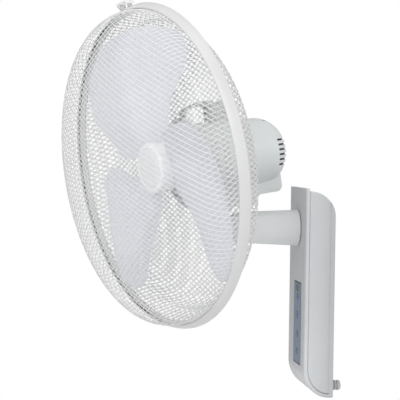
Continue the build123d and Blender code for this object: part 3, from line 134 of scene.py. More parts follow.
class Graph:
    """Builds one node tree, for a material or for geometry."""

    def __init__(self, tree: bpy.types.NodeTree) -> None:
        """Hold the tree that new nodes go into."""
        self.tree = tree

    def feed(self, socket: Socket, value: Feed) -> None:
        """Link something into a socket, or set the socket's plain value.

        Args:
            socket: the input to fill.
            value: an output, or a plain value; a colour may leave out its alpha.
        """
        if isinstance(value, Value):
            value = value.socket
        if isinstance(value, Socket):
            self.tree.links.new(value, socket)
        elif socket.type == "RGBA":
            socket.default_value = (*value[:3], 1.0)
        else:
            socket.default_value = value

    def node(self, kind: str, feeds: Feeds = None, **settings: object) -> bpy.types.Node:
        """Add a node.

        Args:
            kind: Blender's name of the node type.
            feeds: what goes into its inputs, by their names or numbers.
            settings: properties of the node to set first.

        Returns:
            The new node.
        """
        made = self.tree.nodes.new(kind)
        for name, value in settings.items():
            setattr(made, name, value)
        for name, value in (feeds or {}).items():
            self.feed(made.inputs[name], value)
        return made

    def out(self, kind: str, feeds: Feeds = None, **settings: object) -> Socket:
        """Add a node as above and return its first output."""
        return self.node(kind, feeds, **settings).outputs[0]

    def math(self, operation: str, *operands: Feed) -> Value:
        """Add a math node, by Blender's name of the operation, and return its result."""
        return Value(self, self.out("ShaderNodeMath", dict(enumerate(operands)), operation=operation))

    def pick(self, choice: Value, yes: Value, no: Value) -> Value:
        """Choose a number: yes where choice is 1, and no where it is 0."""
        return no + choice * (yes - no)

    def axes(self, vector: Socket) -> list[Value]:
        """Split a vector into its three numbers."""
        return [Value(self, out) for out in self.node("ShaderNodeSeparateXYZ", {0: vector}).outputs]

    def join_axes(self, *numbers: Feed) -> Socket:
        """Make a vector from its three numbers."""
        return self.out("ShaderNodeCombineXYZ", dict(enumerate(numbers)))

    def noise(self, scale: float, detail: float, where: Socket) -> Socket:
        """A noise from 0 to 1 at these coordinates. Scale is per metre, and detail is in octaves."""
        return self.out("ShaderNodeTexNoise", {"Vector": where, "Scale": scale, "Detail": detail})

    def ramp(self, value: Feed, low: Point, high: Point) -> Socket:
        """Map a number and clamp it. Low and high each say (input, output) at one end."""
        ends = {"From Min": low[0], "From Max": high[0], "To Min": low[1], "To Max": high[1]}
        return self.out("ShaderNodeMapRange", {"Value": value, **ends})

    def blend(self, factor: Feed, first: Feed, second: Feed) -> Socket:
        """Mix two colours: factor 0 gives the first, 1 the second."""
        return self.node("ShaderNodeMix", {0: factor, 6: first, 7: second}, data_type="RGBA").outputs[2]

    def times(self, colour: Feed, factor: float) -> Socket:
        """Multiply a colour by a number."""
        return self.out("ShaderNodeVectorMath", {0: colour, "Scale": factor}, operation="SCALE")

    def joined(self, *parts: Socket) -> Socket:
        """Join geometries into one."""
        join = self.node("GeometryNodeJoinGeometry")
        for part in parts:
            self.feed(join.inputs[0], part)
        return join.outputs[0]

    def moved(self, geometry: Socket, way: str, amount: Feed) -> Socket:
        """Move geometry along Z, where way is Translation, or turn it about Z, where it is Rotation."""
        feeds = {"Geometry": geometry, way: self.join_axes(0.0, 0.0, amount)}
        return self.out("GeometryNodeTransform", feeds)

    def tube(self, curve: Socket, radius: Feed) -> Socket:
        """A thin closed wire along a curve. Its section is square, and radius is half its diagonal."""
        section = self.out("GeometryNodeCurvePrimitiveCircle", {"Resolution": 4, "Radius": radius})
        feeds = {"Curve": curve, "Profile Curve": section, "Fill Caps": True}
        return self.out("GeometryNodeCurveToMesh", feeds)


# ---------------- finishes
WANDER = (14.0, 3.0)  # scale and octaves of the noise that the colour follows
PATCHES = (40.0, 4.0)  # the same for the gloss
NOISE_LOW, NOISE_HIGH = 0.3, 0.7  # most of a noise's values lie between these
GLOSS_SWING = (0.88, 1.14)  # smoothest and roughest patch, as shares of the mean roughness
COAT_ROUGHNESS = 0.12
GRAIN_OCTAVES = 2.0
BUMP_STRENGTH = 0.5
THROUGH_TINT = 1.05  # what the colour of the light that passes through is multiplied by


def shade(colour: Colour, factor: float) -> Colour:
    """A colour made lighter or darker by a factor, with each channel clipped to 1."""
    return tuple(min(1.0, channel * factor) for channel in colour)


@dataclass(frozen=True)
class Finish:
    """A surface with a little unevenness in its colour, gloss and height, and painted light and shade along a
    line where given.

    Attributes:
        name: the material's name.
        colour: its base colour.
        roughness: mean roughness.
        metallic: 0 for plastics, 1 for bare metal.
        grain_scale: scale of the fine surface texture.
        grain_depth: depth of the fine surface texture in metres.
        mottling: how much the colour wanders, as a share.
        coat: strength of a clear gloss over it.
        glow_through: share of light that passes through thin walls.
        stretch: how much the grain is drawn out along X, Y and Z.
        painted_shading: painted light and shade: for a few places along the line below, what the colour is
            multiplied by.
        shading_line: the line that the painted light and shade follow: Y for metres along Y, or the name of a
            vertex attribute.
    """

    name: str
    colour: Colour
    roughness: float = 0.4
    metallic: float = 0.0
    grain_scale: float = 900.0
    grain_depth: float = 0.00004
    mottling: float = 0.03
    coat: float = 0.0
    glow_through: float = 0.0
    stretch: Triple = (1.0, 1.0, 1.0)
    painted_shading: tuple[Point, ...] = ()
    shading_line: str = "Y"

    def paint(self, graph: Graph, where: Socket) -> Socket:
        """The colour over the surface, for these object coordinates."""
        wander = graph.ramp(graph.noise(*WANDER, where), (NOISE_LOW, 0.0), (NOISE_HIGH, 1.0))
        ends = [shade(self.colour, 1.0 + change) for change in (-self.mottling, self.mottling)]
        painted = graph.blend(wander, *ends)
        if not self.painted_shading:
            return painted
        # Painted light and shade: the colour is made darker or lighter step by step along a line.
        if self.shading_line == "Y":
            place = graph.axes(where)[1]
        else:
            place = graph.node("ShaderNodeAttribute", attribute_name=self.shading_line).outputs["Fac"]
        painted = graph.times(painted, self.painted_shading[0][1])
        for (start, first), (end, last) in zip(self.painted_shading, self.painted_shading[1:]):
            share = graph.ramp(place, (start, 0.0), (end, 1.0))
            painted = graph.blend(share, painted, graph.times(painted, last / first))
        return painted

    def material(self) -> bpy.types.Material:
        """The finished material, made once."""
        known = bpy.data.materials.get(self.name)
        if known is not None:
            return known
        made = bpy.data.materials.new(self.name)
        made.use_nodes = True
        made.node_tree.nodes.clear()
        graph = Graph(made.node_tree)
        where = graph.node("ShaderNodeTexCoord").outputs["Object"]
        stretched = graph.out("ShaderNodeMapping", {"Vector": where, "Scale": self.stretch})
        smooth, rough = (min(1.0, self.roughness * swing) for swing in GLOSS_SWING)
        gloss = graph.ramp(graph.noise(*PATCHES, stretched), (NOISE_LOW, smooth), (NOISE_HIGH, rough))
        grain = graph.noise(self.grain_scale, GRAIN_OCTAVES, stretched)
        bump = {"Strength": BUMP_STRENGTH, "Distance": self.grain_depth, "Height": grain}
        surface = graph.out(
            "ShaderNodeBsdfPrincipled",
            {
                "Base Color": self.paint(graph, where),
                "Metallic": self.metallic,
                "Roughness": gloss,
                "Coat Weight": self.coat,
                "Coat Roughness": COAT_ROUGHNESS,
                "Normal": graph.out("ShaderNodeBump", bump),
            },
        )
        if self.glow_through > 0.0:
            tint = shade(self.colour, THROUGH_TINT)
            through = graph.out("ShaderNodeBsdfTranslucent", {"Color": tint})
            surface = graph.out("ShaderNodeMixShader", {0: self.glow_through, 1: surface, 2: through})
        graph.node("ShaderNodeOutputMaterial", {"Surface": surface})
        return made


@dataclass(frozen=True)
class PanelPrint(Finish):
    """The control panel's film: a slate field, dark at both ends, with a dark line round it.

    Attributes:
        centre: middle of the panel, X and Z in metres.
        half: half its width and height in metres.
        line: width of the line round the field in metres.
        line_colour: colour of that line.
        end_colour: colour of the two ends and of the marks.
        end_height: height of each end in metres.
        marks: heights of the small printed marks in metres.
        mark_half: half the width and height of a mark in metres.
    """

    centre: Point = (0.006, -0.045)
    half: Point = (0.023, 0.057)
    line: float = 0.0008
    line_colour: Colour = (0.12, 0.14, 0.17)
    end_colour: Colour = (0.03, 0.04, 0.05)
    end_height: float = 0.0022
    marks: tuple[float, ...] = (-0.0095, -0.034, -0.061, -0.0848)
    mark_half: Point = (0.0021, 0.0013)

    def paint(self, graph: Graph, where: Socket) -> Socket:
        """The printed colour over the panel and over the buttons in it."""
        x, _, z = graph.axes(where)
        across = graph.math("ABSOLUTE", x - self.centre[0])
        along = graph.math("ABSOLUTE", z - self.centre[1])
        printed = super().paint(graph, where)
        printed = graph.blend(self.half[0] - across < self.line, printed, self.line_colour)
        printed = graph.blend(self.half[1] - along < self.end_height, printed, self.end_colour)
        thin = across < self.mark_half[0]
        for height in self.marks:
            in_mark = thin * (graph.math("ABSOLUTE", z - height) < self.mark_half[1])
            printed = graph.blend(in_mark, printed, self.end_colour)
        return printed


# Painted light and shade on the wall unit's case, along Y in metres: painted shade on the front face, a
# painted highlight along the front edge, then painted shade darkening towards the wall.
CASE_PAINTED_SHADING = ((-0.041, 0.90), (-0.0395, 1.06), (-0.034, 1.01), (-0.02, 0.93), (-0.003, 0.78))
# Painted light and shade on the blades, across the chord: painted shade near the leading edge and over the
# trailing third, lighter between.
BLADE_PAINTED_SHADING = ((0.02, 0.96), (0.14, 1.01), (0.56, 1.03), (0.74, 0.92), (0.98, 0.90))
# Light that passes through the blades, and their painted light and shade.
BLADE_GLOW_AND_PAINTED_SHADING = {"glow_through": 0.4, "painted_shading": BLADE_PAINTED_SHADING, "shading_line": CHORD}


class Look(Enum):
    """The finishes of the fan."""

    # The case's colour carries painted light and shade along Y.
    CASE = Finish(
        "case_plastic", (0.585, 0.595, 0.605), 0.42, grain_scale=1300.0, grain_depth=0.00003, painted_shading=CASE_PAINTED_SHADING
    )
    ARM = Finish("arm_plastic", (0.755, 0.765, 0.76), 0.36)
    MOTOR = Finish("motor_plastic", (0.66, 0.68, 0.675), 0.36)
    # Painted shade: the handle's grey is darker than the motor's so that it stands in for the shade on its
    # arch.
    HANDLE_PAINTED_SHADE = Finish("handle_painted_shade_plastic", (0.44, 0.45, 0.45), 0.4)
    RING = Finish("ring_plastic", (0.65, 0.65, 0.64), 0.36, coat=0.05)
    LATCH = Finish("latch_plastic", (0.93, 0.93, 0.93), 0.28, glow_through=0.5)
    NET = Finish("net_coating", (0.74, 0.74, 0.73), 0.5, grain_scale=500.0)
    PLATE = Finish("net_plate_coating", (0.72, 0.72, 0.73), 0.42)
    # The blades' colour carries painted shade across the chord.
    BLADE = Finish("blade_plastic", (0.90, 0.905, 0.945), 0.3, mottling=0.02, coat=0.1, **BLADE_GLOW_AND_PAINTED_SHADING)
    CAP = Finish("cap_plastic", (0.84, 0.85, 0.86), 0.32)
    HUB = Finish("hub_plastic", (0.93, 0.93, 0.94), 0.2, coat=0.4)
    WINDOW = Finish("window_plastic", (0.05, 0.06, 0.075), 0.3)
    PANEL = PanelPrint("panel_film", (0.165, 0.22, 0.30), 0.4)
    GLAND = Finish("gland_nylon", (0.44, 0.45, 0.45), 0.45, mottling=0.06, grain_depth=0.00008)
    GEAR = Finish("gear_acetal", (0.80, 0.78, 0.72), 0.38)
    ZINC = Finish("zinc_plate", (0.62, 0.61, 0.58), 0.35, 1.0, mottling=0.1, grain_scale=300.0)
    GROUND = Finish("ground_steel", (0.60, 0.60, 0.62), 0.22, 1.0, stretch=(1.0, 8.0, 1.0))
    CORE = Finish("core_sheets", (0.26, 0.26, 0.27), 0.5, 0.9, 900.0, 0.0003, stretch=(1.0, 30.0, 1.0))
    WIRE = Finish("winding_wire", (0.55, 0.22, 0.08), 0.3, 0.8, 900.0, 0.0004, stretch=(1.0, 12.0, 1.0))
    BOARD = Finish("board_lacquer", (0.03, 0.16, 0.07), 0.35, mottling=0.25)
    RESIN = Finish("black_resin", (0.03, 0.03, 0.032), 0.5)
    NYLON = Finish("terminal_nylon", (0.72, 0.69, 0.58), 0.5)


NODES_OF_LOOK: dict[Look, tuple[str, ...]] = {
    Look.CASE: ("back_housing", "front_cover", "grille_nut"),
    Look.PANEL: ("control_panel", "power_button", "speed_button", "swing_button", "timer_button"),
    Look.WINDOW: ("display_window",),
    Look.BOARD: ("control_board",),
    # The end bracket's black is partly painted shade for the dim inside of the motor cover.
    Look.RESIN: ("run_capacitor", "motor_end_bracket"),
    Look.NYLON: ("terminal_block",),
    Look.GLAND: ("cable_gland",),
    Look.ARM: ("arm_tube", "neck"),
    Look.GEAR: ("sector_gear", "swing_pinion", "swing_bush"),
    Look.MOTOR: ("gear_housing", "motor_front_cover", "motor_rear_cover"),
    Look.HANDLE_PAINTED_SHADE: ("carry_handle",),
    Look.CORE: ("stator_core", "rotor_core"),
    Look.WIRE: ("stator_windings",),
    Look.NET: ("front_grille", "rear_grille"),
    Look.PLATE: ("grille_plate",),
    Look.RING: ("clamp_ring",),
    Look.LATCH: ("ring_latch",),
    Look.BLADE: ("propeller",),
    Look.CAP: ("hub_cap",),
    Look.GROUND: ("front_bearing", "rear_bearing", "latch_pin", "motor_shaft", "drive_pin"),
    Look.ZINC: ("wall_plate", "board_screws", "cover_screws", "arm_screws", "tilt_bolt", "tilt_nut")
    + ("swing_screw", "housing_screws", "swing_motor", "motor_screws"),
}
LOOK_OF_NODE: dict[str, Look] = {node: look for look, nodes in NODES_OF_LOOK.items() for node in nodes}

# Solids shown as refined copies: body, record's slot, sharp angle in degrees, edge width in mm
REFINED: dict[str, tuple[str, str, float, float]] = {
    "clamp_ring": ("head", "ring", 25.0, 0.0),
    "ring_latch": ("latch", "latch", 30.0, 0.3),
    "grille_plate": ("head", "net", 30.0, 0.3),
    "grille_nut": ("head", "case", 30.0, 0.4),
    "hub_cap": ("rotor", "cap", 25.0, 0.4),
    "motor_shaft": ("rotor", "shaft", 30.0, 0.3),
    "motor_front_cover": ("head", "motor_case", 28.0, 0.6),
    "carry_handle": ("head", "handle", 28.0, 1.2),
    "motor_rear_cover": ("head", "motor_case", 28.0, 0.3),
    "gear_housing": ("head", "motor_case", 28.0, 0.8),
    "stator_windings": ("head", "winding", 30.0, 2.0),
    "stator_core": ("head", "lamination", 30.0, 0.0),
    "swing_bush": ("head", "gear", 30.0, 0.3),
    "swing_motor": ("head", "plate_steel", 30.0, 0.3),
    "arm_tube": ("wall_unit", "case", 28.0, 0.4),
    "neck": ("neck", "case", 28.0, 0.6),
    "tilt_bolt": ("wall_unit", "screw", 28.0, 0.4),
    "tilt_nut": ("wall_unit", "screw", 28.0, 0.3),
    "sector_gear": ("neck", "gear", 28.0, 0.1),
    "swing_pinion": ("pinion", "gear", 28.0, 0.1),
    "front_cover": ("wall_unit", "case", 28.0, 0.2),
    "back_housing": ("wall_unit", "case", 28.0, 0.2),
    "control_panel": ("wall_unit", "panel", 28.0, 0.3),
    "display_window": ("wall_unit", "window", 28.0, 0.2),
    "cable_gland": ("wall_unit", "gland", 28.0, 0.4),
    "wall_plate": ("wall_unit", "plate_steel", 28.0, 0.2),
    "control_board": ("wall_unit", "board", 28.0, 0.2),
    "run_capacitor": ("wall_unit", "capacitor", 28.0, 0.5),
    "terminal_block": ("wall_unit", "terminal", 28.0, 0.3),
    "power_button": ("power_key", "button", 28.0, 0.2),
    "speed_button": ("speed_key", "button", 28.0, 0.2),
    "swing_button": ("swing_key", "button", 28.0, 0.2),
    "timer_button": ("timer_key", "button", 28.0, 0.2),
}


# ---------------- mesh helpers
def placed(name: str, data: bpy.types.ID, axes: Matrix = Matrix.Identity(4)) -> bpy.types.Object:
    """Put a camera, light or mesh into the scene, and return its object."""
    made = bpy.data.objects.new(name, data)
    made.matrix_world = axes
    bpy.context.scene.collection.objects.link(made)
    return made


def finished(
    name: str, mesh: Mesh, look: Look, body: str, node: str, crease: float = 35.0
) -> bpy.types.Object:
    """Turn a mesh into a finished piece that rides on a body.

    Args:
        name: the piece's name.
        mesh: its mesh, in place.
        look: its finish.
        body: the CAD body it moves with.
        node: the CAD node that it stands for.
        crease: angle in degrees above which an edge stays sharp.

    Returns:
        The new object.
    """
    mesh.name = name
    mesh.materials.clear()
    mesh.materials.append(look.value.material())
    for polygon in mesh.polygons:
        polygon.use_smooth = True
        polygon.material_index = 0
    mesh.set_sharp_from_angle(angle=math.radians(crease))
    made = placed(name, mesh)
    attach(made, body)
    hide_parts(node)
    LOG.info("%s: %d faces", name, len(mesh.polygons))
    return made


def in_place(mesh: Mesh, axes: Matrix) -> Mesh:
    """Move a mesh that was made in these axes in millimetres into place, and return it."""
    mesh.transform(axes @ Matrix.Scale(MM, 4))
    mesh.update()
    return mesh


def head_mesh(shape: Shape) -> Mesh:
    """Turn an edit mesh of the head, which is freed, into a mesh in place whose faces point out."""
    bmesh.ops.recalc_face_normals(shape, faces=shape.faces)
    mesh = bpy.data.meshes.new("head_shape")
    shape.to_mesh(mesh)
    shape.free()
    return in_place(mesh, HEAD_AXES)


def add_lathe(shape: Shape, profile: Sequence[Point], turns: int) -> None:
    """Add a ring: a closed outline of (ahead, radius) turned about the head's axis in steps."""
    rings: list[list[bmesh.types.BMVert]] = []
    for step in range(turns):
        angle = 2.0 * math.pi * step / turns
        rings.append([shape.verts.new((r * math.cos(angle), -a, r * math.sin(angle))) for a, r in profile])
    for here, there in zip(rings, rings[1:] + rings[:1]):
        for index in range(len(profile)):
            after = (index + 1) % len(profile)
            shape.faces.new((here[index], here[after], there[after], there[index]))


def arc_points(centre: Point, radius: float, start: float, end: float, steps: int) -> list[Point]:
    """Points along an arc from start to end in degrees, over some steps, both ends included."""
    turns = [math.radians(start + (end - start) * step / steps) for step in range(steps + 1)]
    return [(centre[0] + radius * math.cos(turn), centre[1] + radius * math.sin(turn)) for turn in turns]


def refine(node: str, body: str, crease: float, edge: float) -> None:
    """Make a welded, smoothly shaded copy of a CAD piece with softened edges.

    Args:
        node: the CAD node.
        body: the body it moves with.
        crease: angle in degrees above which an edge stays sharp.
        edge: width of the softened edges in millimetres, or 0 for none.
    """
    shape = bmesh.new()
    shape.from_mesh(bpy.data.objects[node].data)
    bmesh.ops.remove_doubles(shape, verts=shape.verts, dist=WELD)
    bmesh.ops.dissolve_limit(
        shape, angle_limit=FLAT_ANGLE, verts=shape.verts, edges=shape.edges, delimit={"NORMAL"}
    )
    mesh = bpy.data.meshes.new(node)
    shape.to_mesh(mesh)
    shape.free()
    made = finished(node + "_piece", mesh, LOOK_OF_NODE[node], body, node, crease)
    if edge > 0.0:
        soften = made.modifiers.new("soft_edges", "BEVEL")
        soften.width = edge * MM
        soften.segments = 2
        soften.limit_method = "ANGLE"
        soften.angle_limit = SOFT_ANGLE
        soften.harden_normals = True


# ---------------- node-built repeats
def new_tree(name: str, inputs: dict[str, object]) -> tuple[Graph, dict[str, Value]]:
    """Start a geometry tree with named inputs.

    Args:
        name: the tree's name.
        inputs: for each input its default: a number, a vector, or None for a material.

    Returns:
        The tree's graph, and its inputs by name.
    """
    kinds = {int: "NodeSocketInt", float: "NodeSocketFloat", tuple: "NodeSocketVector"}
    tree = bpy.data.node_groups.new(name, "GeometryNodeTree")
    for way in ("INPUT", "OUTPUT"):
        tree.interface.new_socket("Geometry", in_out=way, socket_type="NodeSocketGeometry")
    for label, value in inputs.items():
        kind = kinds.get(type(value), "NodeSocketMaterial")
        socket = tree.interface.new_socket(label, in_out="INPUT", socket_type=kind)
        if value is not None:
            socket.default_value = value
    graph = Graph(tree)
    given = graph.node("NodeGroupInput").outputs
    return graph, {label: Value(graph, given[label]) for label in ("Geometry", *inputs)}


def close_tree(graph: Graph, geometry: Socket, finish: Feed) -> bpy.types.NodeTree:
    """End a geometry tree in Realize Instances and Set Material, and return it."""
    real = graph.out("GeometryNodeRealizeInstances", {0: geometry})
    dressed = graph.out("GeometryNodeSetMaterial", {"Geometry": real, "Material": finish})
    graph.node("NodeGroupOutput", {0: dressed})
    return graph.tree


def grown(tree: bpy.types.NodeTree, seeds: Sequence[Triple], values: dict[str, object]) -> Mesh:
    """Run a geometry tree on a few points and return what it makes as a plain mesh.

    Args:
        tree: the tree.
        seeds: points that the tree starts from.
        values: values of its named inputs.

    Returns:
        The new mesh.
    """
    seed_mesh = bpy.data.meshes.new("seeds")
    seed_mesh.from_pydata(list(seeds), [], [])
    carrier = placed("seeds", seed_mesh)
    modifier = carrier.modifiers.new("grow", "NODES")
    modifier.node_group = tree
    for item in tree.interface.items_tree:
        if item.item_type == "SOCKET" and item.in_out == "INPUT" and item.name in values:
            modifier[item.identifier] = values[item.name]
    carrier.update_tag()
    bpy.context.view_layer.update()
    evaluated = carrier.evaluated_get(bpy.context.evaluated_depsgraph_get())
    mesh = bpy.data.meshes.new_from_object(evaluated)
    bpy.data.objects.remove(carrier)
    bpy.data.meshes.remove(seed_mesh)
    return mesh


SCREW_SIZES = ("Head Radius", "Head Height", "Shank Radius", "Shank Length")

# A pan head screw's proportions, as shares of its head's or its shank's sizes
HEAD_TOP = 0.72  # radius of the head's top
CROSS_LENGTH, CROSS_WIDTH, CROSS_RISE = 1.1, 0.26, 0.95  # the recess's bars, and how high they stand
THREAD_TOP, THREAD_TIP, THREAD_WIRE = 0.9, 0.86, 0.13  # radii of the thread and of its wire
THREAD_LENGTH = 0.9
THREAD_TURNS = 9.0
CORE_RADIUS = 0.88  # what is left of the shank between the thread's turns


@dataclass
class ScrewSet:
    """One set of equal pan head screws with a cross recess, all parallel to Y.

    Attributes:
        node: the CAD node it stands for.
        body: the body it moves with.
        places: X and Z of the screws, in millimetres in the axes.
        seat: Y of the heads' undersides.
        facing: 1 where the heads face +Y, -1 where they face -Y.
        head: head radius and height in millimetres.
        shank: shank radius and length in millimetres.
        axes: the axes that the places are in.
    """

    node: str
    body: str
    places: Sequence[Point]
    seat: float
    facing: float
    head: Point
    shank: Point
    axes: Matrix = field(default_factory=lambda: Matrix.Identity(4))

    @staticmethod
    def tree() -> bpy.types.NodeTree:
        """The tree that puts one screw on each point, made once."""
        known = bpy.data.node_groups.get("pan_head_screw")
        if known is not None:
            return known
        inputs = {**dict.fromkeys(SCREW_SIZES, 1.0), "Axis": (0.0, 0.0, 1.0), "Finish": None}
        graph, given = new_tree("pan_head_screw", inputs)
        head_r, head_h, shank_r, shank_h = (given[label] for label in SCREW_SIZES)
        cone = {"Vertices": 28, "Radius Bottom": head_r, "Radius Top": head_r * HEAD_TOP}
        head = graph.out("GeometryNodeMeshCone", {**cone, "Depth": head_h})
        long, thin = head_r * CROSS_LENGTH, head_r * CROSS_WIDTH
        bars = [
            graph.out("GeometryNodeMeshCube", {"Size": graph.join_axes(*size, head_h)})
            for size in ((long, thin), (thin, long))
        ]
        cuts = graph.joined(*(graph.moved(bar, "Translation", head_h * CROSS_RISE) for bar in bars))
        cross = graph.out("GeometryNodeMeshBoolean", {"Mesh 1": head, "Mesh 2": cuts}, operation="DIFFERENCE")
        radii = {"Start Radius": shank_r * THREAD_TOP, "End Radius": shank_r * THREAD_TIP}
        coil = {"Resolution": 8, "Rotations": THREAD_TURNS, **radii, "Height": shank_h * -THREAD_LENGTH}
        thread = graph.tube(graph.out("GeometryNodeCurveSpiral", coil), shank_r * THREAD_WIRE)
        rod = {"Vertices": 16, "Radius": shank_r * CORE_RADIUS, "Depth": shank_h}
        shank = graph.moved(graph.out("GeometryNodeMeshCylinder", rod), "Translation", shank_h * -0.5)
        screw = graph.joined(cross, thread, shank)
        turn = graph.out("FunctionNodeAlignRotationToVector", {"Vector": given["Axis"]}, axis="Z")
        spread = {"Points": given["Geometry"], "Instance": screw, "Rotation": turn}
        return close_tree(graph, graph.out("GeometryNodeInstanceOnPoints", spread), given["Finish"])

    def build(self) -> None:
        """Make the set in place."""
        values = dict(zip(SCREW_SIZES, (*self.head, *self.shank)))
        values.update({"Axis": (0.0, self.facing, 0.0), "Finish": Look.ZINC.value.material()})
        mesh = grown(self.tree(), [(x, self.seat, z) for x, z in self.places], values)
        name = self.node + "_piece"
        finished(name, in_place(mesh, self.axes), Look.ZINC, self.body, self.node)


def screw_sets() -> list[ScrewSet]:
    """The screws whose heads are made as meshes: the others are shown as their CAD solids."""
    motor = arc_points((0.0, 0.0), 44.4, 65.0, 115.0, 1) + arc_points((0.0, 0.0), 44.4, 245.0, 295.0, 1)
    cover = [(x, z) for z in (90.0, -100.0) for x in (-44.0, 44.0)]
    board = [(x, z) for z in (-2.0, -84.0) for x in (-36.0, 36.0)]
    arm = arc_points((0.0, 86.3), 31.0, 45.0, 315.0, 3)
    return [
        ScrewSet("motor_screws", "head", motor, 156.0, 1.0, (2.8, 2.0), (1.5, 40.0), HEAD_AXES),
        ScrewSet("cover_screws", "wall_unit", cover, -3.0, 1.0, (3.2, 2.2), (1.5, 24.0)),
        ScrewSet("board_screws", "wall_unit", board, -27.6, -1.0, (2.6, 1.8), (1.2, 9.0)),
        ScrewSet("arm_screws", "wall_unit", arm, -24.0, -1.0, (3.6, 2.6), (1.75, 16.0)),
    ]


# ---------------- nets
def dome(graph: Graph, radius: Value) -> tuple[Value, Value]:
    """The front net's surface: a shallow crown, a round shoulder and a short straight wall.

    Args:
        graph: the tree's graph.
        radius: distance from the axis along the surface.

    Returns:
        How far ahead the surface is there, and its radius.
    """
    crown, corner = 617.3, 34.3  # radii of the crown's and of the shoulder's curve
    centre_a, centre_r = 16.0, 177.5  # centre of the shoulder's curve
    slope = math.radians(17.0)  # where the two curves meet
    turn = math.asin((centre_r + corner * math.sin(slope)) / crown)
    top = centre_a + corner * math.cos(slope) - crown * math.cos(turn)
    shoulder = crown * turn
    wall = shoulder + corner * (math.pi / 2.0 - slope)
    over = radius / crown
    crown_a = graph.math("COSINE", over) * crown + top
    crown_r = graph.math("SINE", over) * crown
    lean = graph.math("MINIMUM", (radius - shoulder) / corner + slope, math.pi / 2.0)
    beyond = graph.math("MAXIMUM", radius - wall, 0.0)
    round_a = graph.math("COSINE", lean) * corner + centre_a - beyond
    round_r = graph.math("SINE", lean) * corner + centre_r
    near = radius < shoulder
    return graph.pick(near, crown_a, round_a), graph.pick(near, crown_r, round_r)


def basket(graph: Graph, radius: Value) -> tuple[Value, Value]:
    """The rear net's surface: a nearly flat floor, a round corner and a slanted wall.

    Args:
        graph: the tree's graph.
        radius: distance from the axis along the surface.

    Returns:
        How far ahead the surface is there, and its radius.
    """
    hub_a, hub_r = -42.2, 60.0  # where the floor starts
    floor_a, floor_r = -39.2, 172.3  # where it ends
    rim_a, rim_r = -1.0, 210.8  # where the wall ends
    corner, centre_a, sweep = 24.3, -14.9, math.radians(85.0)  # radius, centre and turn of the corner
    end_a, end_r = centre_a - corner * math.cos(sweep), floor_r + corner * math.sin(sweep)
    length = math.hypot(rim_a - end_a, rim_r - end_r)
    flat_a = (radius - hub_r) * ((floor_a - hub_a) / (floor_r - hub_r)) + hub_a
    turn = graph.math("MAXIMUM", (radius - floor_r) / corner, 0.0)
    turn = graph.math("MINIMUM", turn, sweep)
    wall = graph.math("MAXIMUM", radius - (floor_r + corner * sweep), 0.0)
    round_a = centre_a - graph.math("COSINE", turn) * corner + wall * ((rim_a - end_a) / length)
    round_r = graph.math("SINE", turn) * corner + floor_r + wall * ((rim_r - end_r) / length)
    near = radius < floor_r
    return graph.pick(near, flat_a, round_a), graph.pick(near, radius, round_r)


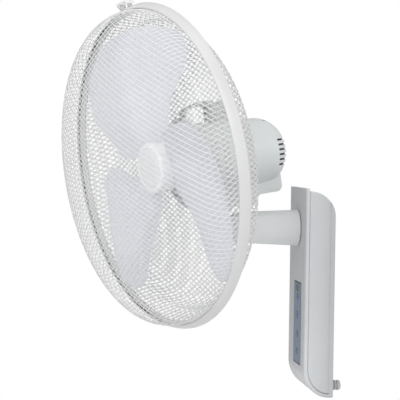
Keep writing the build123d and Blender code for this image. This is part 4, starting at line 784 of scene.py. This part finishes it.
@dataclass
class Net:
    """One expanded metal net: two families of strands on a turned surface, in millimetres.

    Attributes:
        node: the CAD node it stands for.
        bend: the surface that the strands are bent onto.
        reach: length along that surface from the axis to the rim.
        strand: half thickness of a strand.
        rims: closed outlines of its rolled rims, as (ahead, radius).
        inner: radius of the hole in the middle, or 0.
        pitch: distance between neighbouring strands.
        lean: angle of the strands from level, in degrees.
        step: distance between points along a strand.
    """

    node: str
    bend: Callable[[Graph, Value], tuple[Value, Value]]
    reach: float
    strand: float
    rims: Sequence[Sequence[Point]]
    inner: float = 0.0
    pitch: float = 6.58
    lean: float = 26.9
    step: float = 5.0

    def tree(self) -> bpy.types.NodeTree:
        """The tree that lays the strands out flat and bends them onto the surface."""
        inputs = {"Reach": self.reach, "Inner Radius": self.inner, "Pitch": self.pitch, "Step": self.step}
        inputs.update({"Lean": math.radians(self.lean), "Strand Radius": self.strand})
        inputs.update({"Count": 2 * int(self.reach / self.pitch) + 1, "Finish": None})
        graph, given = new_tree(self.node + "_net", inputs)
        count, pitch, reach = given["Count"], given["Pitch"], given["Reach"]
        start = graph.join_axes(0.0, (count - 1.0) * 0.5 * (pitch * -1.0), 0.0)
        row = {"Count": count, "Start Location": start, "Offset": graph.join_axes(0.0, pitch, 0.0)}
        line = graph.out("GeometryNodeMeshLine", row, mode="OFFSET")
        place = graph.axes(graph.out("GeometryNodeInputPosition"))[1]
        chord = graph.math("SQRT", graph.math("MAXIMUM", reach * reach - place * place, 1.0))
        rod = graph.out("GeometryNodeCurvePrimitiveLine", {"Start": (-1.0, 0.0, 0.0), "End": (1.0, 0.0, 0.0)})
        spread = {"Points": line, "Instance": rod, "Scale": graph.join_axes(chord, 1.0, 1.0)}
        family = graph.out("GeometryNodeInstanceOnPoints", spread)
        both = graph.joined(*(graph.moved(family, "Rotation", given["Lean"] * side) for side in (1.0, -1.0)))
        real = graph.out("GeometryNodeRealizeInstances", {0: both})
        even = {"Curve": real, "Length": given["Step"]}
        points = graph.out("GeometryNodeResampleCurve", even, mode="LENGTH")
        wires = graph.out("GeometryNodeCurveToMesh", {"Curve": points})
        x, y, _ = graph.axes(graph.out("GeometryNodeInputPosition"))
        radius = graph.math("SQRT", x * x + y * y)
        hole = {"Geometry": wires, "Selection": radius < given["Inner Radius"]}
        strands = {"Mesh": graph.out("GeometryNodeDeleteGeometry", hole, domain="POINT")}
        ahead, out = self.bend(graph, radius)
        share = out / graph.math("MAXIMUM", radius, 0.001)
        bent = {
            "Geometry": graph.out("GeometryNodeMeshToCurve", strands),
            "Position": graph.join_axes(x * share, ahead * -1.0, y * share),
        }
        wire = graph.tube(graph.out("GeometryNodeSetPosition", bent), given["Strand Radius"])
        return close_tree(graph, wire, given["Finish"])

    def build(self) -> None:
        """Make the net and its rims in place."""
        strands = grown(self.tree(), [(0.0, 0.0, 0.0)], {"Finish": Look.NET.value.material()})
        shape = bmesh.new()
        shape.from_mesh(strands)
        bpy.data.meshes.remove(strands)
        for rim in self.rims:
            add_lathe(shape, rim, turns=160)
        finished(self.node + "_net", head_mesh(shape), Look.NET, "head", self.node, crease=60.0)


def nets() -> list[Net]:
    """The cage's front net and rear net."""
    rim_r = 215.4
    front_rim = [(0.6, 208.6), (0.6, rim_r), (2.8, rim_r), (2.8, 212.4)]
    front_rim += [(7.0, 212.4), (7.0, 211.2), (2.8, 211.0), (2.8, 208.6)]
    rear_rim = [(-1.1, 209.5), (-1.1, rim_r), (0.4, rim_r), (0.4, 209.5)]
    hub_rim = [(-42.8, 57.0), (-42.8, 60.0), (-41.4, 60.0), (-41.4, 57.0)]
    return [
        Net("front_grille", dome, 252.0, 0.52, [front_rim]),
        Net("rear_grille", basket, 229.0, 0.85, [rear_rim, hub_rim], 57.0),
    ]


# ---------------- propeller
def curve_at(points: Sequence[Point], place: float) -> float:
    """Read a smooth curve through a few points, in the order of their first numbers, at a place."""
    slopes = []
    for index in range(len(points)):
        low, high = points[max(index - 1, 0)], points[min(index + 1, len(points) - 1)]
        slopes.append((high[1] - low[1]) / (high[0] - low[0]))
    place = max(points[0][0], min(points[-1][0], place))
    index = next(i for i in range(1, len(points)) if place <= points[i][0])
    (start, first), (end, last) = points[index - 1], points[index]
    t = (place - start) / (end - start)
    leave, arrive = slopes[index - 1] * (end - start), slopes[index] * (end - start)
    settled = 3 * t**2 - 2 * t**3
    return first * (1 - settled) + leave * (t**3 - 2 * t**2 + t) + last * settled + arrive * (t**3 - t**2)


# Radius, and degrees from the blade's middle line
LEADING_EDGE = ((24.0, 27.5), (62.0, 21.5), (94.0, 22.3), (125.0, 28.0), (157.0, 30.8), (189.0, 28.0))
TRAILING_EDGE = ((30.0, 54.0), (36.0, 64.0), (59.0, 75.3), (88.0, 64.5))
TRAILING_EDGE += ((115.5, 59.0), (145.0, 52.7), (166.5, 44.5), (189.0, 25.0))


@dataclass
class Propeller:
    """Three wide blades on a cup shaped hub, in millimetres.

    Attributes:
        tip_r: radius of the blade tips.
        root_r: where the blades leave the hub.
        azimuth: direction of the first blade from the viewer's right, in degrees.
        thickness: blade thickness in the middle.
        edge: its thickness at the edges, as a share of that.
        edge_run: one over the share of the blade on which it thins to an edge.
        camber: bow of the blade as a share of its width.
        tip_round: radius of the rounded leading tip corner.
        rows: steps along the radius.
        row_crowding: power by which they crowd towards the tip.
        columns: steps across.
        column_crowding: how much they crowd towards the edges.
        stations: distance along the blade, then its leading and trailing edge as
            (towards the rotation, ahead of the ring).
        lead: points on the leading edge.
        trail: points on the trailing edge.
    """

    tip_r: float = 189.0
    root_r: float = 30.0
    azimuth: float = 89.0
    thickness: float = 2.3
    edge: float = 0.35
    edge_run: float = 14.0
    camber: float = 0.05
    tip_round: float = 16.0
    rows: int = 44
    row_crowding: float = 1.35
    columns: int = 36
    column_crowding: float = 0.08
    stations: Sequence[tuple[float, Point, Point]] = (
        (12.0, (18.0, -13.0), (-62.0, 15.0)),
        (60.0, (46.0, -14.0), (-110.0, 32.5)),
        (100.0, (74.0, -16.0), (-140.0, 35.5)),
        (150.0, (108.0, -18.5), (-140.0, 39.0)),
        (200.0, (142.0, -18.5), (-126.0, 43.0)),
    )
    lead: Sequence[Point] = LEADING_EDGE
    trail: Sequence[Point] = TRAILING_EDGE

    def surface(self, x: float, up: float) -> float:
        """How far ahead of the ring the blade's middle surface is.

        Args:
            x: distance towards the rotation from the blade's middle line.
            up: distance along that line.

        Returns:
            The distance ahead.
        """
        up = max(self.stations[0][0], min(self.stations[-1][0], up))
        after = next(i for i, station in enumerate(self.stations) if i and station[0] >= up)
        low, high = self.stations[after - 1], self.stations[after]
        share = (up - low[0]) / (high[0] - low[0])
        lead, back = ([low[k][i] + (high[k][i] - low[k][i]) * share for i in range(2)] for k in (1, 2))
        across = (x - lead[0]) / (back[0] - lead[0])
        chord = math.hypot(lead[0] - back[0], lead[1] - back[1])
        bow = 4.0 * across * (1.0 - across) * self.camber * chord
        return lead[1] + (back[1] - lead[1]) * across - bow

    def blade_point(self, share: float, across: float) -> tuple[Vector, float]:
        """A point of the blade's middle surface.

        Args:
            share: how far it is from the root to the tip, 0 to 1.
            across: how far it is from the leading to the trailing edge, 0 to 1.

        Returns:
            The point, for a blade that stands up, and half the thickness there.
        """
        tip_width = math.radians(self.lead[-1][1] + self.trail[-1][1]) * self.tip_r
        inside = min(1.0, across * tip_width / self.tip_round)
        drop = self.tip_round * (1.0 - math.sqrt(1.0 - (1.0 - inside) ** 2))
        radius = self.root_r + (self.tip_r - drop - self.root_r) * share
        lead, trail = -curve_at(self.lead, radius), curve_at(self.trail, radius)
        angle = math.radians(lead + (trail - lead) * across)
        x, up = -radius * math.sin(angle), radius * math.cos(angle)
        rim = min(1.0, self.edge_run * max(0.0, min(across, 1.0 - across, 1.0 - share)))
        half = 0.5 * self.thickness * (self.edge + (1.0 - self.edge) * math.sqrt(rim))
        return Vector((x, -self.surface(x, up), up)), half

    def add_blade(self, shape: Shape, turn: float) -> None:
        """Add one blade, turned to its azimuth in degrees, with a rounded tip corner and thin edges."""
        top: list[list[bmesh.types.BMVert]] = []
        bottom: list[list[bmesh.types.BMVert]] = []
        spin = Matrix.Rotation(math.radians(90.0 - turn), 3, "Y")
        chord = shape.verts.layers.float.get(CHORD) or shape.verts.layers.float.new(CHORD)
        for row in range(self.rows + 1):
            share = 1.0 - (1.0 - row / self.rows) ** self.row_crowding
            top.append([])
            bottom.append([])
            for column in range(self.columns + 1):
                across = column / self.columns
                across -= self.column_crowding * math.sin(2.0 * math.pi * across)
                point, half = self.blade_point(share, across)
                for layer, lift in ((top, half), (bottom, -half)):
                    made = shape.verts.new(spin @ (point - Vector((0.0, lift, 0.0))))
                    made[chord] = across
                    layer[-1].append(made)
        for row in range(self.rows):
            for column in range(self.columns):
                for near, far in ((top[row], top[row + 1]), (bottom[row], bottom[row + 1])):
                    shape.faces.new((near[column], near[column + 1], far[column + 1], far[column]))
        border = [(row, 0) for row in range(self.rows)]
        border += [(self.rows, column) for column in range(self.columns)]
        border += [(row, self.columns) for row in range(self.rows, 0, -1)]
        border += [(0, column) for column in range(self.columns, 0, -1)]
        for (row, column), (to_row, to_column) in zip(border, border[1:] + border[:1]):
            upper = (top[row][column], top[to_row][to_column])
            shape.faces.new((*upper, bottom[to_row][to_column], bottom[row][column]))

    def add_hub(self, shape: Shape) -> None:
        """Add the hub's cup, its boss and its inner ribs."""
        cup = [(-24.0, 31.2), (-24.0, 33.0), (-23.4, 33.5), *arc_points((9.0, 29.0), 5.0, 90.0, 0.0, 8)]
        boss = [(14.0, 27.4), (13.4, 26.8), (11.0, 26.8), (11.0, 7.2), (-2.0, 7.2), (-2.0, 4.05)]
        inside = [(-20.0, 4.05), (-20.0, 9.0), (8.5, 9.0), (8.5, 30.9)]
        add_lathe(shape, cup + boss + inside, turns=96)
        ribs, from_r, to_r, from_a, to_a, half = 6, 8.6, 31.3, -16.0, 8.8, 0.9
        for index in range(ribs):
            turn = 2.0 * math.pi * index / ribs
            outward = Vector((math.cos(turn), 0.0, math.sin(turn)))
            side = Vector((-math.sin(turn), 0.0, math.cos(turn)))
            corners = [
                shape.verts.new(outward * radius + side * lift - Vector((0.0, ahead, 0.0)))
                for radius in (from_r, to_r)
                for ahead in (from_a, to_a)
                for lift in (-half, half)
            ]
            for face in ((0, 1, 3, 2), (4, 6, 7, 5), (0, 4, 5, 1), (2, 3, 7, 6), (0, 2, 6, 4), (1, 5, 7, 3)):
                shape.faces.new([corners[i] for i in face])

    def build(self) -> None:
        """Make the blades and the hub in place."""
        blades, hub = bmesh.new(), bmesh.new()
        for index in range(3):
            self.add_blade(blades, self.azimuth + 120.0 * index)
        self.add_hub(hub)
        for name, shape, look in (("propeller_blades", blades, Look.BLADE), ("propeller_hub", hub, Look.HUB)):
            finished(name, head_mesh(shape), look, "rotor", "propeller", crease=50.0)


# ---------------- motor head
@dataclass
class MotorHead:
    """What the motor head has beside its refined solids.

    Attributes:
        tail_centre: centre of the rear cover's round tail, as (ahead, radius).
        bell_r: radius of the dark bell behind that tail's slots.
        bell_wall: thickness of the bell.
        handle_front: where the carrying handle starts, ahead of the ring.
        handle_taper: length over which it widens.
        handle_slim: its width at the front as a share of its full width.
    """

    tail_centre: Point = (-157.0, 8.0)
    bell_r: float = 38.4
    bell_wall: float = 2.0
    handle_front: float = -46.0
    handle_taper: float = 55.0
    handle_slim: float = 0.5

    def slim(self, mesh: Mesh) -> None:
        """Draw the carrying handle's front foot in, so that the arch widens towards its back."""
        to_head = HEAD_AXES.inverted()
        for vertex in mesh.vertices:
            place = to_head @ vertex.co
            share = min(1.0, max(0.0, (place.y / MM + self.handle_front) / self.handle_taper))
            place.x *= self.handle_slim + (1.0 - self.handle_slim) * share
            vertex.co = HEAD_AXES @ place
        mesh.update()

    def bell(self) -> None:
        """Make the end bracket as a dark bell behind the vent slots. Its black is partly the bracket's own
        dark paint and partly painted shade for the dim inside of the motor cover.
        """
        outer = [(-124.0, 47.4), (-127.0, 47.4), (-127.0, 39.4), (-163.0, 39.4)]
        outer += arc_points(self.tail_centre, self.bell_r, 106.0, 178.0, 16)
        inner = arc_points(self.tail_centre, self.bell_r - self.bell_wall, 178.0, 106.0, 12)
        end = self.tail_centre[0] - self.bell_r
        nose = [(end, 9.6), (end, 0.02), (-168.0, 0.02), (-168.0, 11.0), (-161.0, 11.0), (-161.0, 14.0)]
        shape = bmesh.new()
        add_lathe(shape, outer + inner + [(-163.0, 37.4), (-124.0, 37.4)], turns=96)
        add_lathe(shape, nose + [(-176.0, 14.0), (end + 2.1, 10.5)], turns=48)
        finished("motor_bell", head_mesh(shape), Look.RESIN, "head", "motor_end_bracket")

    def build(self) -> None:
        """Make the bell and slim the handle."""
        self.bell()
        self.slim(bpy.data.objects["carry_handle_piece"].data)


# ---------------- studio
@dataclass
class Studio:
    """Camera, lamps, world and floor, in metres.

    Attributes:
        place: the camera's place.
        right: its right-hand direction.
        up: its upward direction.
        forward: the way it looks.
        lens: focal length in millimetres on a 36 mm sensor.
        dim_side: X of the direction where the surround is dimmest, and its strength there.
        bright_side: the same where it is brightest.
        floor_centre: middle of the floor.
        floor_radius: its radius.
        lamps: name, place, side of the square face, watts and target of each lamp.
    """

    place: Triple = (1.8264, -0.4211, 0.1908)
    right: Triple = (0.13113, 0.99128, 0.01283)
    up: Triple = (-0.03778, -0.00794, 0.99925)
    forward: Triple = (-0.99064, 0.13152, -0.03641)
    lens: float = 120.6
    dim_side: Point = (-1.0, 0.5)
    bright_side: Point = (0.25, 0.92)
    floor_centre: Triple = (0.0, -0.2, -0.60)
    floor_radius: float = 1.5
    lamps: Sequence[tuple[str, Triple, float, float, Triple]] = (
        ("side_lamp", (2.0, -1.5, 1.3), 1.2, 20.0, (0.0, -0.2, 0.15)),
        ("top_lamp", (0.4, -0.6, 2.0), 1.6, 2.5, (0.0, -0.15, 0.1)),
        ("back_lamp", (0.6, 1.8, 0.8), 1.2, 4.0, (0.0, -0.1, 0.15)),
    )

    def camera(self) -> None:
        """Stand the camera where the reference view was taken from."""
        data = bpy.data.cameras.new("camera")
        data.lens = self.lens
        data.sensor_width = 36.0
        data.clip_end = 50.0
        turn = Matrix((self.right, self.up, tuple(-value for value in self.forward))).transposed()
        bpy.context.scene.camera = placed("camera", data, Matrix.Translation(self.place) @ turn.to_4x4())

    def light(self) -> None:
        """Hang the soft lamps."""
        for name, place, size, power, target in self.lamps:
            data = bpy.data.lights.new(name, "AREA")
            data.size = size
            data.energy = power
            turn = (Vector(target) - Vector(place)).to_track_quat("-Z", "Y").to_matrix().to_4x4()
            placed(name, data, Matrix.Translation(place) @ turn)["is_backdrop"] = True

    def world(self) -> None:
        """A pale surround that the camera and light passing through see as white."""
        made = bpy.data.worlds.new("surround")
        bpy.context.scene.world = made
        made.use_nodes = True
        made.node_tree.nodes.clear()
        graph = Graph(made.node_tree)
        path = graph.node("ShaderNodeLightPath").outputs
        seen = graph.math("MAXIMUM", path["Is Camera Ray"], path["Is Transmission Ray"])
        towards_x = graph.axes(graph.node("ShaderNodeTexCoord").outputs["Generated"])[0]
        strength = graph.ramp(towards_x, self.dim_side, self.bright_side)
        light = graph.out("ShaderNodeBackground", {"Color": (0.98, 0.99, 1.0), "Strength": strength})
        white = graph.out("ShaderNodeBackground", {"Color": (1.0, 1.0, 1.0)})
        mix = graph.out("ShaderNodeMixShader", {0: seen, 1: light, 2: white})
        graph.node("ShaderNodeOutputWorld", {"Surface": mix})

    def floor(self) -> None:
        """A round pale floor below the fan."""
        shape = bmesh.new()
        bmesh.ops.create_circle(shape, cap_ends=True, segments=96, radius=self.floor_radius)
        mesh = bpy.data.meshes.new("floor")
        shape.to_mesh(mesh)
        shape.free()
        mesh.transform(Matrix.Translation(self.floor_centre))
        mesh.materials.append(Finish("floor_paint", (0.88, 0.88, 0.88), 0.7, mottling=0.01).material())
        placed("floor", mesh)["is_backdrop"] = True

    def build(self) -> None:
        """Set up everything that isn't the fan."""
        bpy.context.scene.view_settings.view_transform = "Standard"
        self.camera()
        self.world()
        self.floor()
        self.light()


def dress_remaining(nodes: dict[str, bpy.types.Object]) -> None:
    """Give every CAD node its finish, also those that a piece stands for."""
    for name, shown in nodes.items():
        material = LOOK_OF_NODE[name].value.material()
        if not shown.data.materials:
            shown.data.materials.append(material)
        for slot in shown.material_slots:
            slot.material = material


def as_numbers(box: object) -> object:
    """A box, as nested sequences of numbers, turned into nested lists."""
    if isinstance(box, (int, float)):
        return float(box)
    return [as_numbers(item) for item in box]


def main() -> None:
    """Build the fan's looks on its frame."""
    logging.basicConfig(level=logging.INFO, format="%(name)s: %(message)s")
    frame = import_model()
    cad_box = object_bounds()
    dress_remaining(frame["nodes"])
    for node, (body, slot, crease, edge) in REFINED.items():
        refine(node, body, crease, edge)
    for part in (*nets(), Propeller(), MotorHead(), *screw_sets(), Studio()):
        LOG.info("building %s", type(part).__name__)
        part.build()
    {"cad": as_numbers(cad_box), "visual": as_numbers(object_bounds())}


if __name__ == "__main__":
    main()
